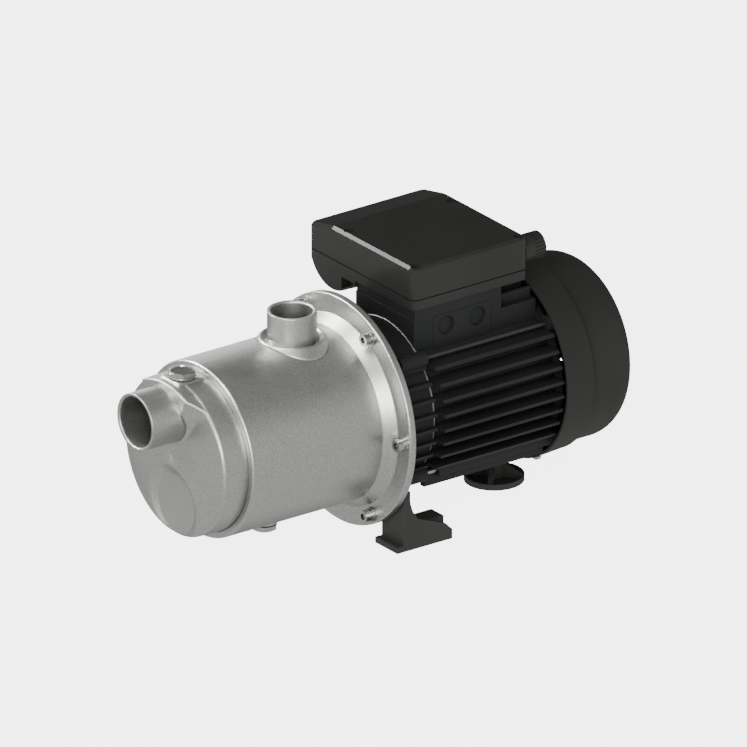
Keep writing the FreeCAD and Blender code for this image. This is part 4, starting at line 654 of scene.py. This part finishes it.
def soft_box(name, way, distance, size, radiance, lit=None, gloss_only=False):
    """An area light that looks at the pump, with its distance and size in metres.

    With a group it shines on that group alone, as a flagged lamp does. A light that is gloss only
    stands for a reflector card.
    """
    lamp = bpy.data.lights.new(name, "AREA")
    lamp.shape = "RECTANGLE"
    lamp.size, lamp.size_y = size
    lamp.energy = radiance * math.pi * size[0] * size[1]
    holder = bpy.data.objects.new(name, lamp)
    holder.visible_camera = False
    holder.visible_diffuse = not gloss_only
    bpy.context.scene.collection.objects.link(holder)
    if lit:
        holder.light_linking.receiver_collection = lit
    look = Vector(way).normalized()
    pump_middle = Vector((0, 0, 0.1))
    holder.matrix_world = (Matrix.Translation(pump_middle + look * distance)
                           @ look.to_track_quat("Z", "Y").to_matrix().to_4x4())


def metal_group():
    """The pieces of bright metal, which most of the lights are aimed at."""
    group = bpy.data.collections.new("bright_metal")
    for thing in bpy.data.objects:
        if any(slot.material and slot.material.get("bright") for slot in thing.material_slots):
            group.objects.link(thing)
    return group


def studio_air():
    """Even light from the sides that falls off towards the ceiling and behind a dark flag."""
    world = bpy.data.worlds.new("studio_air")
    world.use_nodes = True
    tree = world.node_tree
    towards_flag = (0.593, 0.805, 0.0)
    way = add(tree, "ShaderNodeTexCoord").outputs["Generated"]
    height = add(tree, "ShaderNodeSeparateXYZ", {"Vector": way}).outputs["Z"]
    falloff = add(tree, "ShaderNodeMapRange", {"Value": height, "From Min": 0.3, "From Max": 0.75,
                                               "To Min": 0.85, "To Max": 0.3}).outputs["Result"]
    side = add(tree, "ShaderNodeVectorMath", {0: way, 1: towards_flag},
               operation="DOT_PRODUCT").outputs["Value"]
    flag = add(tree, "ShaderNodeMapRange", {"Value": side, "From Min": 0.3, "From Max": 0.8,
                                            "To Min": 1.0, "To Max": 0.2}).outputs["Result"]
    light = add(tree, "ShaderNodeMath", {0: falloff, 1: flag}, operation="MULTIPLY").outputs["Value"]
    connect(tree, tree.nodes["Background"], {"Strength": light, "Color": (1, 1, 1, 1)})
    return world


def lay_floor(stage):
    """A floor and a backdrop of opal panels, left out of the pump's gloss and shade."""
    floor = begin("studio_floor", bpy.ops.mesh.primitive_plane_add, size=stage.floor_size,
                  location=(0, 0, 0))
    backdrop_radius = 0.45 * stage.floor_size
    backdrop = begin("studio_backdrop", bpy.ops.mesh.primitive_uv_sphere_add, segments=64,
                     ring_count=32, radius=backdrop_radius, location=(0, 0, 0))
    opal = opal_panel(stage.floor, stage.floor_glow)
    for panel in (floor, backdrop):
        panel.data.materials.append(opal)
        panel.visible_glossy = False
        panel.visible_diffuse = False
        panel.visible_shadow = False


def hang_lights():
    """A key light for the whole pump, a card for the box's lid, and the bright metal's own lights."""
    bright = metal_group()
    soft_box("key_soft_box", way=(-0.75, -0.62, 0.55), distance=2.0, size=(1.5, 1.1), radiance=2.6)
    soft_box("backdrop_soft_box", way=(0.545, 0.80, 0.16), distance=2.2, size=(2.8, 1.3),
             radiance=1.7, lit=bright)
    soft_box("far_card", way=(-0.30, 0.74, 0.60), distance=2.0, size=(0.6, 0.8), radiance=45,
             lit=bright)
    soft_box("lid_card", way=(-0.394, 0.74, 0.545), distance=2.0, size=(0.34, 0.34), radiance=55,
             gloss_only=True)
    soft_box("left_card", way=(-0.52, 0.1, 0.85), distance=2.0, size=(0.4, 1.5), radiance=30,
             lit=bright)
    soft_box("near_card", way=(-0.62, -0.70, 0.30), distance=2.2, size=(0.7, 1.0), radiance=20,
             lit=bright)


def place_camera(scene):
    """A camera without perspective at the photograph's angle, aimed at its frame's middle."""
    stage = scene.pump_stage
    across = Vector((math.cos(stage.turn), -math.sin(stage.turn), 0))
    back = Vector((-math.sin(stage.turn) * math.cos(stage.tilt),
                   -math.cos(stage.turn) * math.cos(stage.tilt), math.sin(stage.tilt)))
    up = back.cross(across)
    aim = Vector((6.97, 0, 119.3)) * MM
    stand_off = 1.5
    far_limit = 20
    lens = bpy.data.cameras.new("product_camera")
    lens.type = "ORTHO"
    lens.ortho_scale = stage.view_width
    lens.clip_end = far_limit
    camera = bpy.data.objects.new("product_camera", lens)
    scene.collection.objects.link(camera)
    turned = Matrix((across, up, back)).transposed().to_4x4()
    camera.matrix_world = Matrix.Translation(aim + back * stand_off) @ turned
    bpy.context.scene.camera = camera


class PUMP_OT_stage(bpy.types.Operator):
    """Lays the floor, hangs the lights and sets up the camera"""

    bl_idname = "pump.stage"
    bl_label = "Stage"

    def execute(self, context):
        lay_floor(context.scene.pump_stage)
        hang_lights()
        context.scene.world = studio_air()
        place_camera(context.scene)
        return {"FINISHED"}


class PUMP_PT_panel(bpy.types.Panel):
    """Lists the pump's operators in the sidebar"""

    bl_label = "Pump"
    bl_idname = "PUMP_PT_panel"
    bl_space_type = "VIEW_3D"
    bl_region_type = "UI"
    bl_category = "Pump"

    def draw(self, context):
        for operator in OPERATORS:
            self.layout.operator(operator.bl_idname)


OPERATORS = (PUMP_OT_finishes, PUMP_OT_plugs, PUMP_OT_lid_screws, PUMP_OT_gland,
             PUMP_OT_joint_edge, PUMP_OT_stage)
CLASSES = (PumpFinishes, PumpFittings, PumpStage) + OPERATORS + (PUMP_PT_panel,)


def register():
    """Registers the classes and their settings."""
    for cls in CLASSES:
        bpy.utils.register_class(cls)
    bpy.types.Scene.pump_finishes = bpy.props.PointerProperty(type=PumpFinishes)
    bpy.types.Scene.pump_fittings = bpy.props.PointerProperty(type=PumpFittings)
    bpy.types.Scene.pump_stage = bpy.props.PointerProperty(type=PumpStage)


def unregister():
    """Removes the settings and the classes."""
    del bpy.types.Scene.pump_stage
    del bpy.types.Scene.pump_fittings
    del bpy.types.Scene.pump_finishes
    for cls in reversed(CLASSES):
        bpy.utils.unregister_class(cls)


def main():
    register()
    for operator in OPERATORS:
        group, name = operator.bl_idname.split(".")
        getattr(getattr(bpy.ops, group), name)()


if __name__ == "__main__":
    main()
